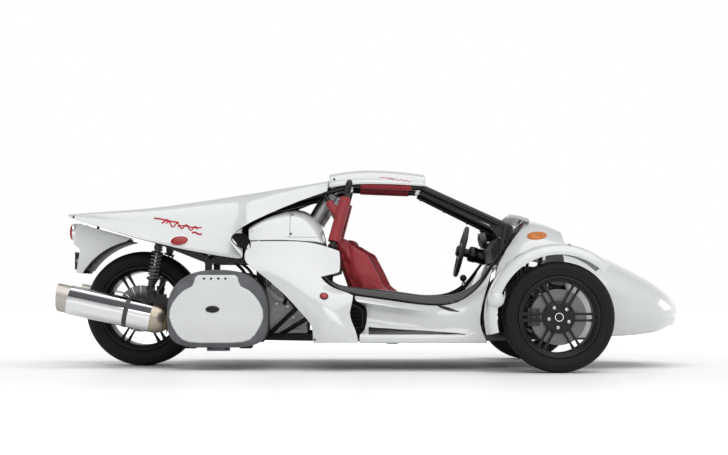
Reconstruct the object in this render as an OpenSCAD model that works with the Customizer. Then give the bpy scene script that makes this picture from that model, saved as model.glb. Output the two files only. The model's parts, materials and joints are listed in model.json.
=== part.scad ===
// Open three-wheeled sports car: two steered front wheels, one driven rear wheel,
// a tubular frame, composite body panels, two seats side by side and two hard panniers.
// Millimetres. +X is forward, +Y is the car's left, +Z is up. The origin is on the
// ground, at the middle of the car's length and width.

/* [Overall] */
// Distance between the front and rear axles
wheelbase = 2286; // [1900:1:2750]
// Distance between the centre planes of the front wheels
front_track = 1770; // [1560:1:2130]
// Nose tip ahead of the front axle
front_overhang = 786; // [760:1:820]
// Exhaust tips behind the rear axle
rear_overhang = 428; // [400:1:460]
// Ground clearance under the sills and floor
ride_height = 150; // [135:1:170]

/* [Front wheels] */
// Outer diameter of a front tyre
front_tyre_d = 582; // [560:1:600]
// Width of a front tyre
front_tyre_w = 205; // [175:1:225]
// Bead diameter of a front rim
front_rim_d = 406.4; // [381:0.1:419]
// Diameter of a front brake disc
front_disc_d = 296; // [250:1:310]
// Radius of the front stub axle
spindle_r = 20; // [16:0.5:24]
// How far the steering axis lies inboard of the wheel's centre plane
kingpin_offset = 35; // [30:1:45]
// Radial room between tyre and fender
fender_gap = 36; // [32:1:60]

/* [Rear wheel] */
// Outer diameter of the rear tyre
rear_tyre_d = 654; // [620:1:680]
// Width of the rear tyre
rear_tyre_w = 295; // [245:1:305]
// Bead diameter of the rear rim
rear_rim_d = 457.2; // [431:0.1:470]
// Radius of the rear axle
rear_axle_r = 12.5; // [10:0.5:16]

/* [Body] */
// Thickness of a composite body panel
panel_t = 6; // [4:0.5:9]
// Outer diameter of the frame tubes
frame_tube_d = 38; // [32:1:44]
// Width of a seat
seat_w = 400; // [360:1:410]

/* [Controls] */
// Diameter of the steering wheel
steering_wheel_d = 312; // [280:1:340]
// Diameter of the steering wheel's grip
grip_d = 30; // [24:1:36]
// Radius of the steering rack bar
rack_r = 11; // [9:0.5:14]
// Length of a steering arm, from the kingpin to the tie rod
steering_arm = 115; // [100:1:125]

/* [Luggage and exhaust] */
// Length of a pannier
pannier_l = 545; // [480:1:580]
// Height of a pannier
pannier_h = 420; // [380:1:440]
// Wall thickness of a pannier
pannier_t = 5; // [3:0.5:8]
// Diameter of a silencer
silencer_d = 163; // [140:1:175]

/* [Hidden] */

tube_fn = 40;
round_fn = 96;
seat_gap = 0.3;     // between two pieces that are bolted or pressed together
running = 0.06;     // radial clearance of a turning pin

overall_length = front_overhang + wheelbase + rear_overhang;
front_axle_x = overall_length / 2 - front_overhang;
rear_axle_x = front_axle_x - wheelbase;
front_wheel_y = front_track / 2;
front_hub_z = front_tyre_d / 2;
rear_hub_z = rear_tyre_d / 2;
kingpin_y = front_wheel_y - kingpin_offset;

// Stations of the base car, whose wheelbase is 2286 mm. along() puts a station on this
// car: ahead of the main hoop it keeps its distance to the front axle, behind the rear
// axle to the rear one, and between them it is shared out.
base_front_axle = 964;
base_rear_axle = -1322;
base_hoop = -200;
function along(x) =
  x >= base_hoop ? x - base_front_axle + front_axle_x
  : x <= base_rear_axle ? x - base_rear_axle + rear_axle_x
  : let (hoop = base_hoop - base_front_axle + front_axle_x)
    rear_axle_x + (x - base_rear_axle) * (hoop - rear_axle_x) / (base_hoop - base_rear_axle);

// The body keeps its distance to the front wheels, so it widens with the track.
base_track = 1770;
function across(y) = y * front_track / base_track;
function body_point(p) = [along(p[0]), across(p[1]), p[2] + ride_height - 150];
function body_points(points) = [for (p = points) body_point(p)];

// ---- Curves and sheets ----
function unit(v) = v / max(norm(v), 0.000001);
function spline_at(a, b, c, d, t) =
  0.5 * (2 * b + (c - a) * t + (2 * a - 5 * b + 4 * c - d) * t * t
         + (3 * b - a - 3 * c + d) * t * t * t);
function spline(points, k) =
  let (n = len(points))
  concat(
    [for (i = [0 : n - 2], s = [0 : k - 1])
      let (before = i == 0 ? 2 * points[0] - points[1] : points[i - 1],
           after = i == n - 2 ? 2 * points[n - 1] - points[n - 2] : points[i + 2])
      spline_at(before, points[i], points[i + 1], after, s / k)],
    [points[n - 1]]);
function transpose(rows) = [for (j = [0 : len(rows[0]) - 1]) [for (row = rows) row[j]]];
function smooth_grid(rows, along_k, across_k) =
  transpose([for (column = transpose([for (row = rows) spline(row, across_k)])) spline(column, along_k)]);
// A half section that runs from an edge to the centre line, mirrored to the other edge.
function whole(half) =
  concat([for (p = half) [p[0], -p[1], p[2]]], [for (i = [len(half) - 2 : -1 : 0]) half[i]]);

function grid_normal(g, i, j) =
  let (m = len(g), n = len(g[0]),
       du = g[min(i + 1, m - 1)][j] - g[max(i - 1, 0)][j],
       dv = g[i][min(j + 1, n - 1)] - g[i][max(j - 1, 0)])
  unit(cross(du, dv));

// A curved sheet of thickness t under the grid's outer face, whose normal is
// row direction x column direction.
module sheet(g, t) {
  m = len(g);
  n = len(g[0]);
  outer = [for (i = [0 : m - 1], j = [0 : n - 1]) g[i][j]];
  inner = [for (i = [0 : m - 1], j = [0 : n - 1]) g[i][j] - t * grid_normal(g, i, j)];
  o = m * n;
  function id(i, j) = i * n + j;
  faces = concat(
    [for (i = [0 : m - 2], j = [0 : n - 2]) [id(i, j), id(i, j + 1), id(i + 1, j)]],
    [for (i = [0 : m - 2], j = [0 : n - 2]) [id(i, j + 1), id(i + 1, j + 1), id(i + 1, j)]],
    [for (i = [0 : m - 2], j = [0 : n - 2]) [o + id(i, j), o + id(i + 1, j), o + id(i, j + 1)]],
    [for (i = [0 : m - 2], j = [0 : n - 2]) [o + id(i, j + 1), o + id(i + 1, j), o + id(i + 1, j + 1)]],
    [for (i = [0 : m - 2]) [id(i, 0), id(i + 1, 0), o + id(i + 1, 0), o + id(i, 0)]],
    [for (i = [0 : m - 2]) [id(i, n - 1), o + id(i, n - 1), o + id(i + 1, n - 1), id(i + 1, n - 1)]],
    [for (j = [0 : n - 2]) [id(0, j), o + id(0, j), o + id(0, j + 1), id(0, j + 1)]],
    [for (j = [0 : n - 2]) [id(m - 1, j), id(m - 1, j + 1), o + id(m - 1, j + 1), o + id(m - 1, j)]]);
  polyhedron(concat(outer, inner), faces, convexity = 8);
}

// The middle of one inner facet of a sheet, and its outward normal.
function inner_point(g, i, j, t) = g[i][j] - t * grid_normal(g, i, j);
function facet(g, i, j, t) =
  let (a = inner_point(g, i, j, t), b = inner_point(g, i, j + 1, t), c = inner_point(g, i + 1, j, t))
  [(a + b + c) / 3, unit(cross(c - a, b - a))];
module toward(v) rotate([0, acos(v[2] / norm(v)), atan2(v[1], v[0])]) children();
// A square bar whose ends reach half its width past both points.
module beam(a, b, w) {
  translate(a) toward(b - a) translate([-w / 2, -w / 2, -w / 2]) cube([w, w, norm(b - a) + w]);
}
// A bracket from the frame to a flat pad that carries a panel: p lies on the panel,
// n points from the panel to the bracket.
module pad_arm(root, p, n, w = 12) {
  foot = p + 9.5 * n;
  translate(p + seat_gap * n) toward(n) translate([-w / 2 - 1, -w / 2 - 1, 0]) cube([w + 2, w + 2, 12]);
  translate(foot) toward(root - foot) translate([-w / 2, -w / 2, 0]) cube([w, w, norm(root - foot)]);
}
module panel_arm(root, g, i, j, t = panel_t) {
  f = facet(g, i, j, t);
  pad_arm(root, f[0], -f[1]);
}

module tube(a, b, d) {
  v = b - a;
  translate(a)
    rotate([0, acos(v[2] / norm(v)), atan2(v[1], v[0])])
      cylinder(h = norm(v), d = d, $fn = tube_fn);
}

// Straight tubes through the points, with a welded ball at each inner bend.
module tube_run(points, d) {
  for (i = [0 : len(points) - 2]) tube(points[i], points[i + 1], d);
  if (len(points) > 2)
    for (i = [1 : len(points) - 2]) translate(points[i]) sphere(d = d * 1.06, $fn = tube_fn);
}
module both_sides() {
  children();
  mirror([0, 1, 0]) children();
}
module side(s) {
  if (s > 0) children();
  else mirror([0, 1, 0]) children();
}
// Turns what is drawn along +Z to lie along +Y.
module lay_across() rotate([-90, 0, 0]) children();

// ---- Steering line ----
rail_z = frame_tube_d / 2 + 3;
steer_hub = body_point([524, 270, 660]);
steer_tilt = 14;
steer_dir = [cos(steer_tilt), 0, -sin(steer_tilt)];
steer_normal = [sin(steer_tilt), 0, cos(steer_tilt)];
rack_x = front_axle_x - steering_arm;
rack_z = ride_height + rail_z + frame_tube_d / 2 + seat_gap + rack_r + 9;
rack_half = 235;
column_start = steer_hub + 64 * steer_dir;
column_mid = steer_hub + 222 * steer_dir;
column_bend = steer_hub + 245 * steer_dir;
pinion = [rack_x, across(150), rack_z + 34];

// ---- Frame ----
lower_rail = body_points([
  [1160, 262, 150 + rail_z], [760, 262, 150 + rail_z], [560, 500, 150 + rail_z],
  [-300, 500, 150 + rail_z], [-600, 330, 150 + rail_z], [-930, 255, 150 + rail_z]
]);
upper_z = 585;
upper_rail = body_points([[-262, 452, upper_z], [-640, 320, 600], [-930, 270, 600], [-1250, 250, 725], [-1600, 130, 830]]);
front_top_rail = body_points([[1160, 262, 430], [760, 262, 470]]);
hoop_foot = body_point([-246, 452, upper_z + frame_tube_d / 2 + 8]);
hoop_top = body_point([-135, 318, 1030]);
pillar_top = body_point([262, 285, 1012]);
pillar_foot = body_point([735, 425, 785]);
pillar_sill = body_point([640, 405, 150 + rail_z + frame_tube_d / 2 + 5]);
stay_bend = body_point([-780, 258, 868]);
brace_share = 0.5;
function mirrored(p) = [p[0], -p[1], p[2]];
module rail_path(points) {
  for (i = [0 : len(points) - 2]) beam(points[i], points[i + 1], frame_tube_d);
}
module cross_bar(p) beam(mirrored(p), p, frame_tube_d);

module frame_side() {
  d = frame_tube_d;
  h = d / 2;
  rail_path(lower_rail);
  rail_path(upper_rail);
  rail_path([lower_rail[0], front_top_rail[0], front_top_rail[1], lower_rail[1]]);
  rail_path([lower_rail[3], upper_rail[0]]);
  rail_path([lower_rail[5], upper_rail[2]]);
  beam(lower_rail[4], upper_rail[1], d);
  // Shock tower, lamp bracket and the rear shock's top lug
  beam([front_axle_x, lower_rail[0][1], 450 + ride_height - 150], [front_axle_x, lower_rail[0][1], shock_top[2]], 30);
  lamp = [lamp_back[0] - seat_gap - 3, lamp_back[1], lamp_back[2]];
  beam([lamp[0] - 58, lower_rail[0][1], 452 + ride_height - 150], lamp - [8, 0, 0], 16);
  translate(lamp - [2, 20, 20]) cube([5, 40, 40]);
  translate([rear_top[0] - 20, rear_top[1] - 36, rear_top[2] - 22]) cube([40, 20 - seat_gap, 60]);
  // Pannier rack
  translate([along(-945), across(250), 420 + ride_height - 150]) cube([30, pannier_y - seat_gap - across(250), 30]);
  translate([along(-990), pannier_y - seat_gap - 4, 400 + ride_height - 150]) cube([290, 4, 70]);
}
module panel_arms() {
  panel_arm(front_top_rail[0], nose_grid, 3, 8);
  panel_arm(body_point([850, 262, 461]), cowl_grid, 2, 10);
  panel_arm(body_point([250, 500, 172]), pod_grid, 4, 4);
  panel_arm(body_point([120, 500, 172]), trim_grid, 12, 1, trim_t);
  panel_arm(upper_rail[0], quarter_grid, 1, 5);
  panel_arm(body_point([-500, 369, 594]), cover_grid, 4, 10);
  panel_arm(upper_rail[2], tail_grid, 8, 11);
  f = fender_pad(100);
  pad_arm(body_point([900, 262, 456]), f[0], -f[1]);
}

jack_z = ride_height - 12;
tow_eye = [front_top_rail[0][0] + 52, 0, ride_height + rail_z];
pivot_x = along(-905) - 22;
module lower_frame() {
  color("black") {
    both_sides() frame_side();
    both_sides() panel_arms();
    for (rail = [lower_rail[0], lower_rail[1], lower_rail[3], lower_rail[4], lower_rail[5],
                 upper_rail[0], upper_rail[2], upper_rail[4], front_top_rail[0]])
      cross_bar(rail);
    cross_bar([rack_x, lower_rail[0][1], ride_height + rail_z]);
    pad_arm(upper_rail[4] - [0, upper_rail[4][1], 0], guard_point, guard_normal);
  }
}

// Towing eye, jacking pads and the swinging arm's pivot bolt
module frame_fittings() {
  h = frame_tube_d / 2;
  bolt_y = lower_rail[5][1] + (upper_rail[2][1] - lower_rail[5][1])
    * (rear_hub_z - lower_rail[5][2]) / (upper_rail[2][2] - lower_rail[5][2]) - h - 1.2;
  color("black") {
    difference() {
      union() {
        translate([lower_rail[0][0] + h + seat_gap, -6, tow_eye[2] - 15]) cube([tow_eye[0] - lower_rail[0][0] - h, 12, 30]);
        translate(tow_eye - [0, 6, 0]) lay_across() cylinder(h = 12, r = 26, $fn = 64);
      }
      translate(tow_eye - [0, 10, 0]) lay_across() cylinder(h = 20, r = 14, $fn = 64);
    }
    both_sides() translate([along(70), across(500) - 17, jack_z])
      cube([60, 34, ride_height + rail_z - h - seat_gap - jack_z]);
    translate([pivot_x, -bolt_y, rear_hub_z]) lay_across() cylinder(h = 2 * bolt_y, r = 14 - running, $fn = 48);
  }
}

dash_bar = steer_hub + 193 * steer_dir - (29 + 15 + seat_gap + 0.1) * steer_normal;
module roll_cage() {
  d = frame_tube_d;
  share = (dash_bar[2] - pillar_sill[2]) / (pillar_foot[2] - pillar_sill[2]);
  dash_y = pillar_sill[1] + share * (pillar_foot[1] - pillar_sill[1]);
  stay_foot = [along(-885), across(276), upper_rail[2][2] + d / 2 + 10];
  color("black") {
    both_sides() {
      tube_run([hoop_foot, hoop_top, pillar_top, pillar_foot, pillar_sill], d);
      tube_run([hoop_top + (hoop_foot - hoop_top) * 0.05, stay_bend, stay_foot], d * 0.84);
      tube(hoop_top + (hoop_foot - hoop_top) * brace_share, hoop_top + (stay_bend - hoop_top) * 0.24, d * 0.7);
      // Foot plates on the frame
      translate([hoop_foot[0] - 30, hoop_foot[1] - 26, upper_rail[0][2] + d / 2 + 4.2]) cube([52, 50, 6]);
      translate([pillar_sill[0] - 28, pillar_sill[1] - 26, lower_rail[2][2] + d / 2 + seat_gap]) cube([56, 52, 6]);
      translate([stay_foot[0] - 24, stay_foot[1] - 24, upper_rail[2][2] + d / 2 + seat_gap]) cube([48, 48, 6]);
      // Pillar bracket on the scuttle
      translate(pillar_foot) rotate([90, 0, 0])
        linear_extrude(height = 8, center = true)
          polygon([[-68, -4], [16, 14], [40, -6], [4, -96], [-12, -96]]);
      panel_arm(hoop_top * 0.5 + mirrored(hoop_top) * 0.5 + [0, 120, 0], roof_grid, 1, 8);
    }
    tube(mirrored(hoop_top), hoop_top, d);
    tube(mirrored(pillar_top), pillar_top, d);
    p = hoop_top + (hoop_foot - hoop_top) * 0.52;
    tube(mirrored(p), p, d * 0.9);
    tube([dash_bar[0], -dash_y, dash_bar[2]], [dash_bar[0], dash_y, dash_bar[2]], 30);
  }
}

// ---- Floor tub ----
module floor_pan() {
  z = ride_height;
  t = 3;
  front = along(787);
  back = along(-205);
  half = lower_rail[2][1] - frame_tube_d / 2;
  nose = lower_rail[1][1] - frame_tube_d / 2;
  color("dimgray") difference() {
    union() {
      translate([0, 0, z]) linear_extrude(height = t)
        polygon([[back, -half], [along(545), -half], [front, -nose], [front, nose], [along(545), half], [back, half]]);
      translate([front - t, -nose, z]) cube([t, 2 * nose, 290]);
      translate([back, -half + 60, z]) rotate([0, -11, 0]) cube([t, 2 * half - 120, 400]);
      for (y = [-half, half - t]) translate([back + 1, y, z]) cube([along(520) - back, t, 150]);
    }
    // Hole for the steering shaft
    tube(column_bend, pinion, 64);
  }
}

// ---- Body panels ----
nose_rows = [
  [[1046, 520, 170], [1046, 575, 430], [1046, 430, 655], [1046, 0, 735]],
  [[1200, 500, 172], [1200, 545, 405], [1200, 400, 600], [1200, 0, 688]],
  [[1430, 440, 182], [1430, 475, 350], [1430, 350, 495], [1430, 0, 585]],
  [[1560, 385, 198], [1590, 400, 315], [1600, 290, 420], [1600, 0, 492]],
  [[1610, 330, 212], [1668, 310, 290], [1694, 215, 365], [1700, 0, 412]],
  [[1640, 285, 222], [1698, 250, 268], [1735, 150, 312], [1750, 0, 335]],
  [[1648, 262, 228], [1692, 205, 234], [1718, 120, 237], [1728, 0, 238]]
];
nose_grid = smooth_grid([for (row = nose_rows) body_points(whole(row))], 2, 2);
module nose_panel() {
  color("white") sheet(nose_grid, panel_t);
}

cowl_rows = [
  [[650, 604, 441], [672, 566, 560], [748, 500, 690], [842, 350, 800], [872, 0, 838]],
  [[742, 632, 562], [764, 584, 650], [815, 495, 735], [885, 348, 806], [915, 0, 834]],
  [[850, 640, 626], [860, 590, 690], [880, 495, 752], [930, 345, 802], [955, 0, 822]],
  [[960, 641, 646], [960, 590, 700], [960, 490, 748], [975, 340, 790], [990, 0, 806]],
  [[1036, 638, 640], [1036, 585, 688], [1036, 474, 736], [1038, 330, 768], [1038, 0, 780]]
];
cowl_grid = smooth_grid([for (row = cowl_rows) body_points(whole(row))], 2, 2);
module cowl_panel() {
  color("white") sheet(cowl_grid, panel_t);
}

// Fender section: radius from the hub and distance outboard of the wheel's centre plane.
fender_section = [[0, 106], [26, 103], [46, 86], [57, 48], [60, 0], [57, -60], [48, -120], [34, -180], [14, -236]];
fender_start = 46;
fender_end = 194;
fender_r0 = front_tyre_d / 2 + fender_gap;
fender_outer = [for (p = spline(fender_section, 3)) [fender_r0 + p[0], p[1]]];
// A point on the fender's inner face near its inboard edge, and the outward normal there.
function fender_pad(a) =
  let (p = fender_outer[22], q = fender_outer[23], d = (q - p) / norm(q - p), n = [-d[1], d[0]],
       m = (p + q) / 2 - panel_t * n)
  [[front_axle_x + m[0] * cos(a), front_wheel_y + m[1], front_hub_z + m[0] * sin(a)],
   [n[0] * cos(a), n[1], n[0] * sin(a)]];
module fender(s) {
  n = len(fender_outer);
  inner = [for (i = [n - 1 : -1 : 0])
    let (d = fender_outer[min(i + 1, n - 1)] - fender_outer[max(i - 1, 0)], u = d / norm(d))
      fender_outer[i] + panel_t * [u[1], -u[0]]];
  color("white") side(s)
    translate([front_axle_x, front_wheel_y, front_hub_z])
      rotate([90, 0, 0]) rotate([0, 0, fender_start])
        rotate_extrude(angle = fender_end - fender_start, $fn = round_fn)
          polygon([for (p = concat(fender_outer, inner)) [p[0], -p[1]]]);
}

pod_rows = [
  [[-78, 700, 150], [-78, 765, 152], [-78, 765, 198], [-50, 682, 220], [-38, 657, 335], [-96, 715, 372], [-106, 662, 402]],
  [[100, 700, 150], [100, 768, 152], [100, 766, 196], [100, 690, 216], [100, 672, 306], [100, 712, 342], [100, 648, 374]],
  [[300, 700, 150], [300, 776, 152], [300, 772, 194], [300, 712, 212], [300, 698, 282], [300, 708, 316], [300, 640, 348]],
  [[450, 700, 150], [450, 784, 152], [450, 784, 196], [450, 748, 218], [450, 728, 286], [450, 704, 326], [450, 630, 362]],
  [[548, 700, 150], [548, 788, 152], [540, 792, 204], [532, 776, 262], [540, 742, 342], [556, 694, 400], [568, 600, 446]],
  [[600, 700, 150], [600, 786, 152], [583, 794, 192], [562, 790, 250], [570, 758, 332], [598, 704, 440], [640, 580, 548]]
];
function backwards(rows) = [for (row = rows) [for (i = [len(row) - 1 : -1 : 0]) row[i]]];
pod_grid = backwards(smooth_grid([for (row = pod_rows) body_points(row)], 2, 2));
module side_pod(s) {
  color("white") side(s) sheet(pod_grid, panel_t);
}

quarter_rows = [
  [[-684, 500, 700], [-550, 512, 702], [-350, 505, 695], [-190, 492, 648]],
  [[-716, 538, 600], [-560, 566, 612], [-370, 572, 600], [-188, 545, 530]],
  [[-622, 622, 525], [-500, 664, 520], [-390, 668, 512], [-290, 625, 506]],
  [[-489, 692, 415], [-410, 722, 430], [-320, 712, 440], [-220, 655, 442]],
  [[-401, 722, 320], [-330, 758, 350], [-235, 752, 380], [-112, 668, 404]],
  [[-343, 734, 254], [-280, 778, 270], [-205, 776, 296], [-135, 738, 308]],
  [[-329, 738, 200], [-262, 786, 208], [-184, 788, 216], [-100, 764, 220]],
  [[-329, 735, 150], [-262, 776, 150], [-176, 778, 150], [-84, 770, 150]]
];
quarter_grid = backwards(smooth_grid([for (row = quarter_rows) body_points(row)], 2, 3));
module rear_quarter(s) {
  color("white") side(s) sheet(quarter_grid, panel_t);
}

roof_rows = [
  [[-250, 353, 1007], [-250, 347, 1046], [-252, 291, 1084], [-254, 0, 1096]],
  [[-110, 358, 1024], [-110, 350, 1066], [-108, 292, 1104], [-105, 0, 1120]],
  [[20, 356, 1026], [20, 348, 1068], [20, 290, 1106], [20, 0, 1125]],
  [[160, 346, 1022], [160, 338, 1060], [160, 282, 1098], [160, 0, 1116]],
  [[290, 328, 1014], [290, 322, 1048], [288, 270, 1082], [285, 0, 1098]]
];
roof_grid = smooth_grid([for (row = roof_rows) body_points(whole(row))], 2, 2);
module roof_panel() {
  color("white") sheet(roof_grid, panel_t);
}

tail_rows = [
  [[-1728, 222, 846], [-1730, 214, 856], [-1731, 200, 864], [-1732, 0, 868]],
  [[-1550, 280, 792], [-1550, 255, 838], [-1550, 222, 876], [-1550, 0, 884]],
  [[-1322, 335, 722], [-1322, 288, 810], [-1322, 235, 890], [-1322, 0, 898]],
  [[-1100, 392, 668], [-1100, 325, 795], [-1100, 246, 914], [-1100, 0, 924]],
  [[-900, 452, 630], [-900, 358, 790], [-900, 256, 940], [-900, 0, 954]],
  [[-770, 505, 610], [-790, 392, 780], [-780, 262, 958], [-780, 0, 972]],
  [[-724, 528, 612], [-735, 405, 800], [-720, 268, 968], [-720, 0, 982]],
  [[-796, 508, 700], [-708, 402, 832], [-670, 272, 976], [-670, 0, 990]],
  [[-738, 462, 775], [-640, 382, 868], [-600, 276, 990], [-600, 0, 1002]],
  [[-600, 402, 850], [-540, 352, 926], [-500, 280, 1008], [-500, 0, 1019]],
  [[-420, 362, 928], [-400, 338, 978], [-385, 286, 1026], [-380, 0, 1040]],
  [[-262, 348, 984], [-256, 338, 1012], [-250, 292, 1048], [-250, 0, 1062]]
];
tail_grid = smooth_grid([for (row = tail_rows) body_points(whole(row))], 2, 2);
module tail_panel() {
  color("white") sheet(tail_grid, panel_t);
}

cover_rows = [
  [[-690, 476, 706], [-692, 446, 746], [-694, 396, 782], [-696, 0, 800]],
  [[-610, 494, 708], [-610, 455, 770], [-610, 385, 828], [-610, 0, 850]],
  [[-490, 497, 708], [-490, 450, 790], [-490, 352, 868], [-490, 0, 896]],
  [[-400, 494, 704], [-396, 440, 790], [-390, 330, 862], [-388, 0, 884]],
  [[-320, 486, 700], [-312, 425, 760], [-305, 310, 806], [-300, 0, 822]],
  [[-278, 476, 694], [-272, 410, 700], [-270, 300, 704], [-268, 0, 706]]
];
cover_grid = smooth_grid([for (row = cover_rows) body_points(whole(row))], 2, 2);
module engine_cover() {
  color("white") difference() {
    sheet(cover_grid, panel_t);
    both_sides() filter_shape(2 * seat_gap);
  }
}

// Dark trim that caps the cockpit edge: its outer line follows the pod's top edge.
trim_line = [
  [-280, 600, 512], [-215, 634, 452], [-110, 640, 414], [100, 640, 384], [300, 632, 358],
  [450, 622, 372], [560, 592, 448], [632, 556, 548], [732, 490, 690]
];
trim_width = [10, 52, 66, 68, 66, 60, 50, 40, 26];
trim_rise = [0, 18, 42, 50, 50, 46, 34, 20, 8];
trim_t = 4;
trim_grid = backwards(smooth_grid([for (i = [0 : len(trim_line) - 1])
  let (p = trim_line[i])
  [body_point(p), body_point([p[0], p[1] - trim_width[i] * 0.45, p[2] + 6 + trim_rise[i] * 0.62]),
   body_point([p[0], p[1] - trim_width[i], p[2] - 10 + trim_rise[i] * 1.1])]], 3, 2));
module sill_trims() {
  color("black") both_sides() sheet(trim_grid, trim_t);
}

module intake_ducts() {
  wall = 4;
  outer = across(695);
  depth = 85;
  color("black") both_sides() translate([0, 0, ride_height - 150]) {
    difference() {
      translate([along(-92), outer, 0]) rotate([90, 0, 0])
        linear_extrude(height = depth) polygon([[30, 232], [30, 322], [0, 348], [-90, 372], [-170, 372], [-170, 230], [-90, 222]]);
      translate([along(-92), outer + wall, 0]) rotate([90, 0, 0])
        linear_extrude(height = depth - wall)
          polygon([[24, 236], [24, 318], [-4, 342], [-88, 366], [-166, 366], [-166, 236], [-88, 227]]);
    }
    // Plate behind the opening's front edge
    translate([along(-92), outer - depth, 232]) cube([70, wall, 92]);
    // Foot on the sill rail
    translate([along(-200), across(500) + frame_tube_d / 2 + seat_gap, 160])
      cube([40, outer - depth + 14 - across(500) - frame_tube_d / 2 - seat_gap, 20]);
    translate([along(-200), outer - depth, 160]) cube([40, 14, 75]);
  }
}

// ---- Rear mudguard ----
guard_r = 58;
guard_half = 168;
guard_low = [rear_axle_x - 62, rear_hub_z + 400];
guard_high = [rear_axle_x - 372, rear_hub_z + 485];
guard_dir = (guard_high - guard_low) / norm(guard_high - guard_low);
guard_normal = [-guard_dir[1], 0, guard_dir[0]] * -1;
guard_mid = guard_low + guard_dir * 222;
guard_point = [guard_mid[0], 0, guard_mid[1]];
lamp_x = rear_axle_x - 338;
plate_x = rear_axle_x - 392;
plate_z = rear_hub_z + 273;
module guard_outline(inset = 0) {
  x = rear_axle_x;
  z = rear_hub_z;
  polygon([[x - 62 - 3 * inset, z + 400 - inset], [x - 372 + inset, z + 485 - inset], [x - 388 + inset, z + 370],
           [x - 350 + inset, z + 335], [x - 372 + inset, z + 205], [x - 322, z + 198], [x - 180, z + 320]]);
}
module rear_mudguard() {
  r = rear_tyre_d / 2 + guard_r;
  x = rear_axle_x;
  z = rear_hub_z;
  liner = 6;
  color("white") difference() {
    rotate([90, 0, 0]) difference() {
      linear_extrude(height = 2 * guard_half, center = true) difference() {
        guard_outline();
        translate([x, z]) circle(r = r + liner + seat_gap, $fn = round_fn);
      }
      linear_extrude(height = 2 * guard_half - 10, center = true) difference() {
        guard_outline(5);
        translate([x, z]) circle(r = r, $fn = round_fn);
      }
    }
    both_sides() translate([lamp_x + 1, 112, 762 + ride_height - 150]) rotate([0, -90, 0])
      cylinder(h = 90, r = 50 + seat_gap, $fn = 64);
  }
  color("black") translate([x, 0, z]) rotate([90, 0, 0]) rotate([0, 0, 100])
    rotate_extrude(angle = 46, $fn = round_fn)
      translate([r, -guard_half]) square([liner, 2 * guard_half]);
  // Blank plate holder
  color("black") difference() {
    union() {
      translate([plate_x, -95, plate_z - 50]) cube([3, 190, 100]);
      both_sides() translate([plate_x + 1, 44, plate_z - 12]) cube([33, 16, 24]);
    }
    for (y = [-75, 75], dz = [-30, 30]) translate([plate_x - 1, y, plate_z + dz]) rotate([0, 90, 0])
      cylinder(h = 5, r = 3.25, $fn = 32);
  }
}

deflector_foot = [for (j = [6 : 10]) cowl_grid[1][j] + 8 * grid_normal(cowl_grid, 1, j)];
module wind_deflector() {
  rows = [for (f = [1, 0.5, 0]) [for (p = deflector_foot) p + f * [-108, -0.05 * p[1], 26] + f * (1 - f) * [0, 0, 20]]];
  color("gray", 0.5) {
    sheet(smooth_grid(rows, 2, 2), 3);
    for (j = [6, 9])
      let (f = facet(cowl_grid, 0, j, 0))
        translate(f[0] + (seat_gap + 0.1) * f[1]) toward(f[1]) cylinder(h = 13, d = 8, $fn = 32);
  }
}

lamp_back = body_point([960, 430, 703]);
module headlamps() {
  color("silver") both_sides()
    translate(lamp_back) rotate([0, 90, 0])
      rotate_extrude($fn = 64)
        polygon([[0, 0], [20, 0], [36, 40], [36, 72], [30, 80], [18, 86], [0, 88]]);
}

module tail_lamps() {
  color("red") both_sides()
    translate([lamp_x, 112, 762 + ride_height - 150]) rotate([0, -90, 0])
      rotate_extrude($fn = 64)
        polygon([[0, 0], [40, 0], [50, 20], [50, 60], [40, 74], [20, 80], [0, 82]]);
}

module lamps() {
  headlamps();
  tail_lamps();
}

// ---- Cabin ----
module dashboard() {
  low = dash_bar[2] + 15 + seat_gap;
  up = ride_height - 150;
  color("dimgray") difference() {
    rotate([90, 0, 0])
      linear_extrude(height = 2 * across(385), center = true)
        polygon([[along(668), low], [along(648), 655 + up], [along(690), 716 + up], [along(770), 750 + up],
                 [along(850), 766 + up], [along(846), 726 + up], [along(760), 690 + up], [along(722), low]]);
    tube(column_start - 20 * steer_dir, column_mid + 2 * steer_dir, 58 + 2 * seat_gap);
    tube(column_mid, column_bend + 60 * steer_dir, 60);
  }
}

module steering_wheel() {
  r = (steering_wheel_d - grip_d) / 2;
  color("black") translate(steer_hub) rotate([0, -90 + steer_tilt, 0]) difference() {
    union() {
      rotate_extrude($fn = round_fn) translate([r, 0]) circle(d = grip_d, $fn = 24);
      cylinder(h = 34, r = 34, $fn = 48);
      for (a = [0, 120, 240]) rotate([0, 0, a + 180]) translate([20, -16, -4]) cube([r - 22, 32, 8]);
      translate([0, 0, -6]) cylinder(h = 12, r = 52, $fn = 48);
      translate([0, 0, seat_gap - 64]) cylinder(h = 62, r = 26, $fn = 48);
    }
    translate([0, 0, -65]) cylinder(h = 52, r = 8 + running, $fn = 48);
  }
}
module steering_column() {
  color("dimgray") {
    difference() {
      union() {
        tube(column_start, column_mid, 58);
        tube(steer_hub + 18 * steer_dir, column_mid, 16);
        tube_run([column_mid - 10 * steer_dir, column_bend, pinion], 22);
        tube(pinion + [0, 0, 6], pinion - [0, 0, 34], 40);
        translate([rack_x, -across(rack_half), rack_z]) lay_across()
          cylinder(h = 2 * across(rack_half), r = rack_r + 9, $fn = 48);
      }
      translate([rack_x, -across(rack_half) - 1, rack_z]) lay_across()
        cylinder(h = 2 * across(rack_half) + 2, r = rack_r + running, $fn = 48);
    }
  }
}

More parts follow.
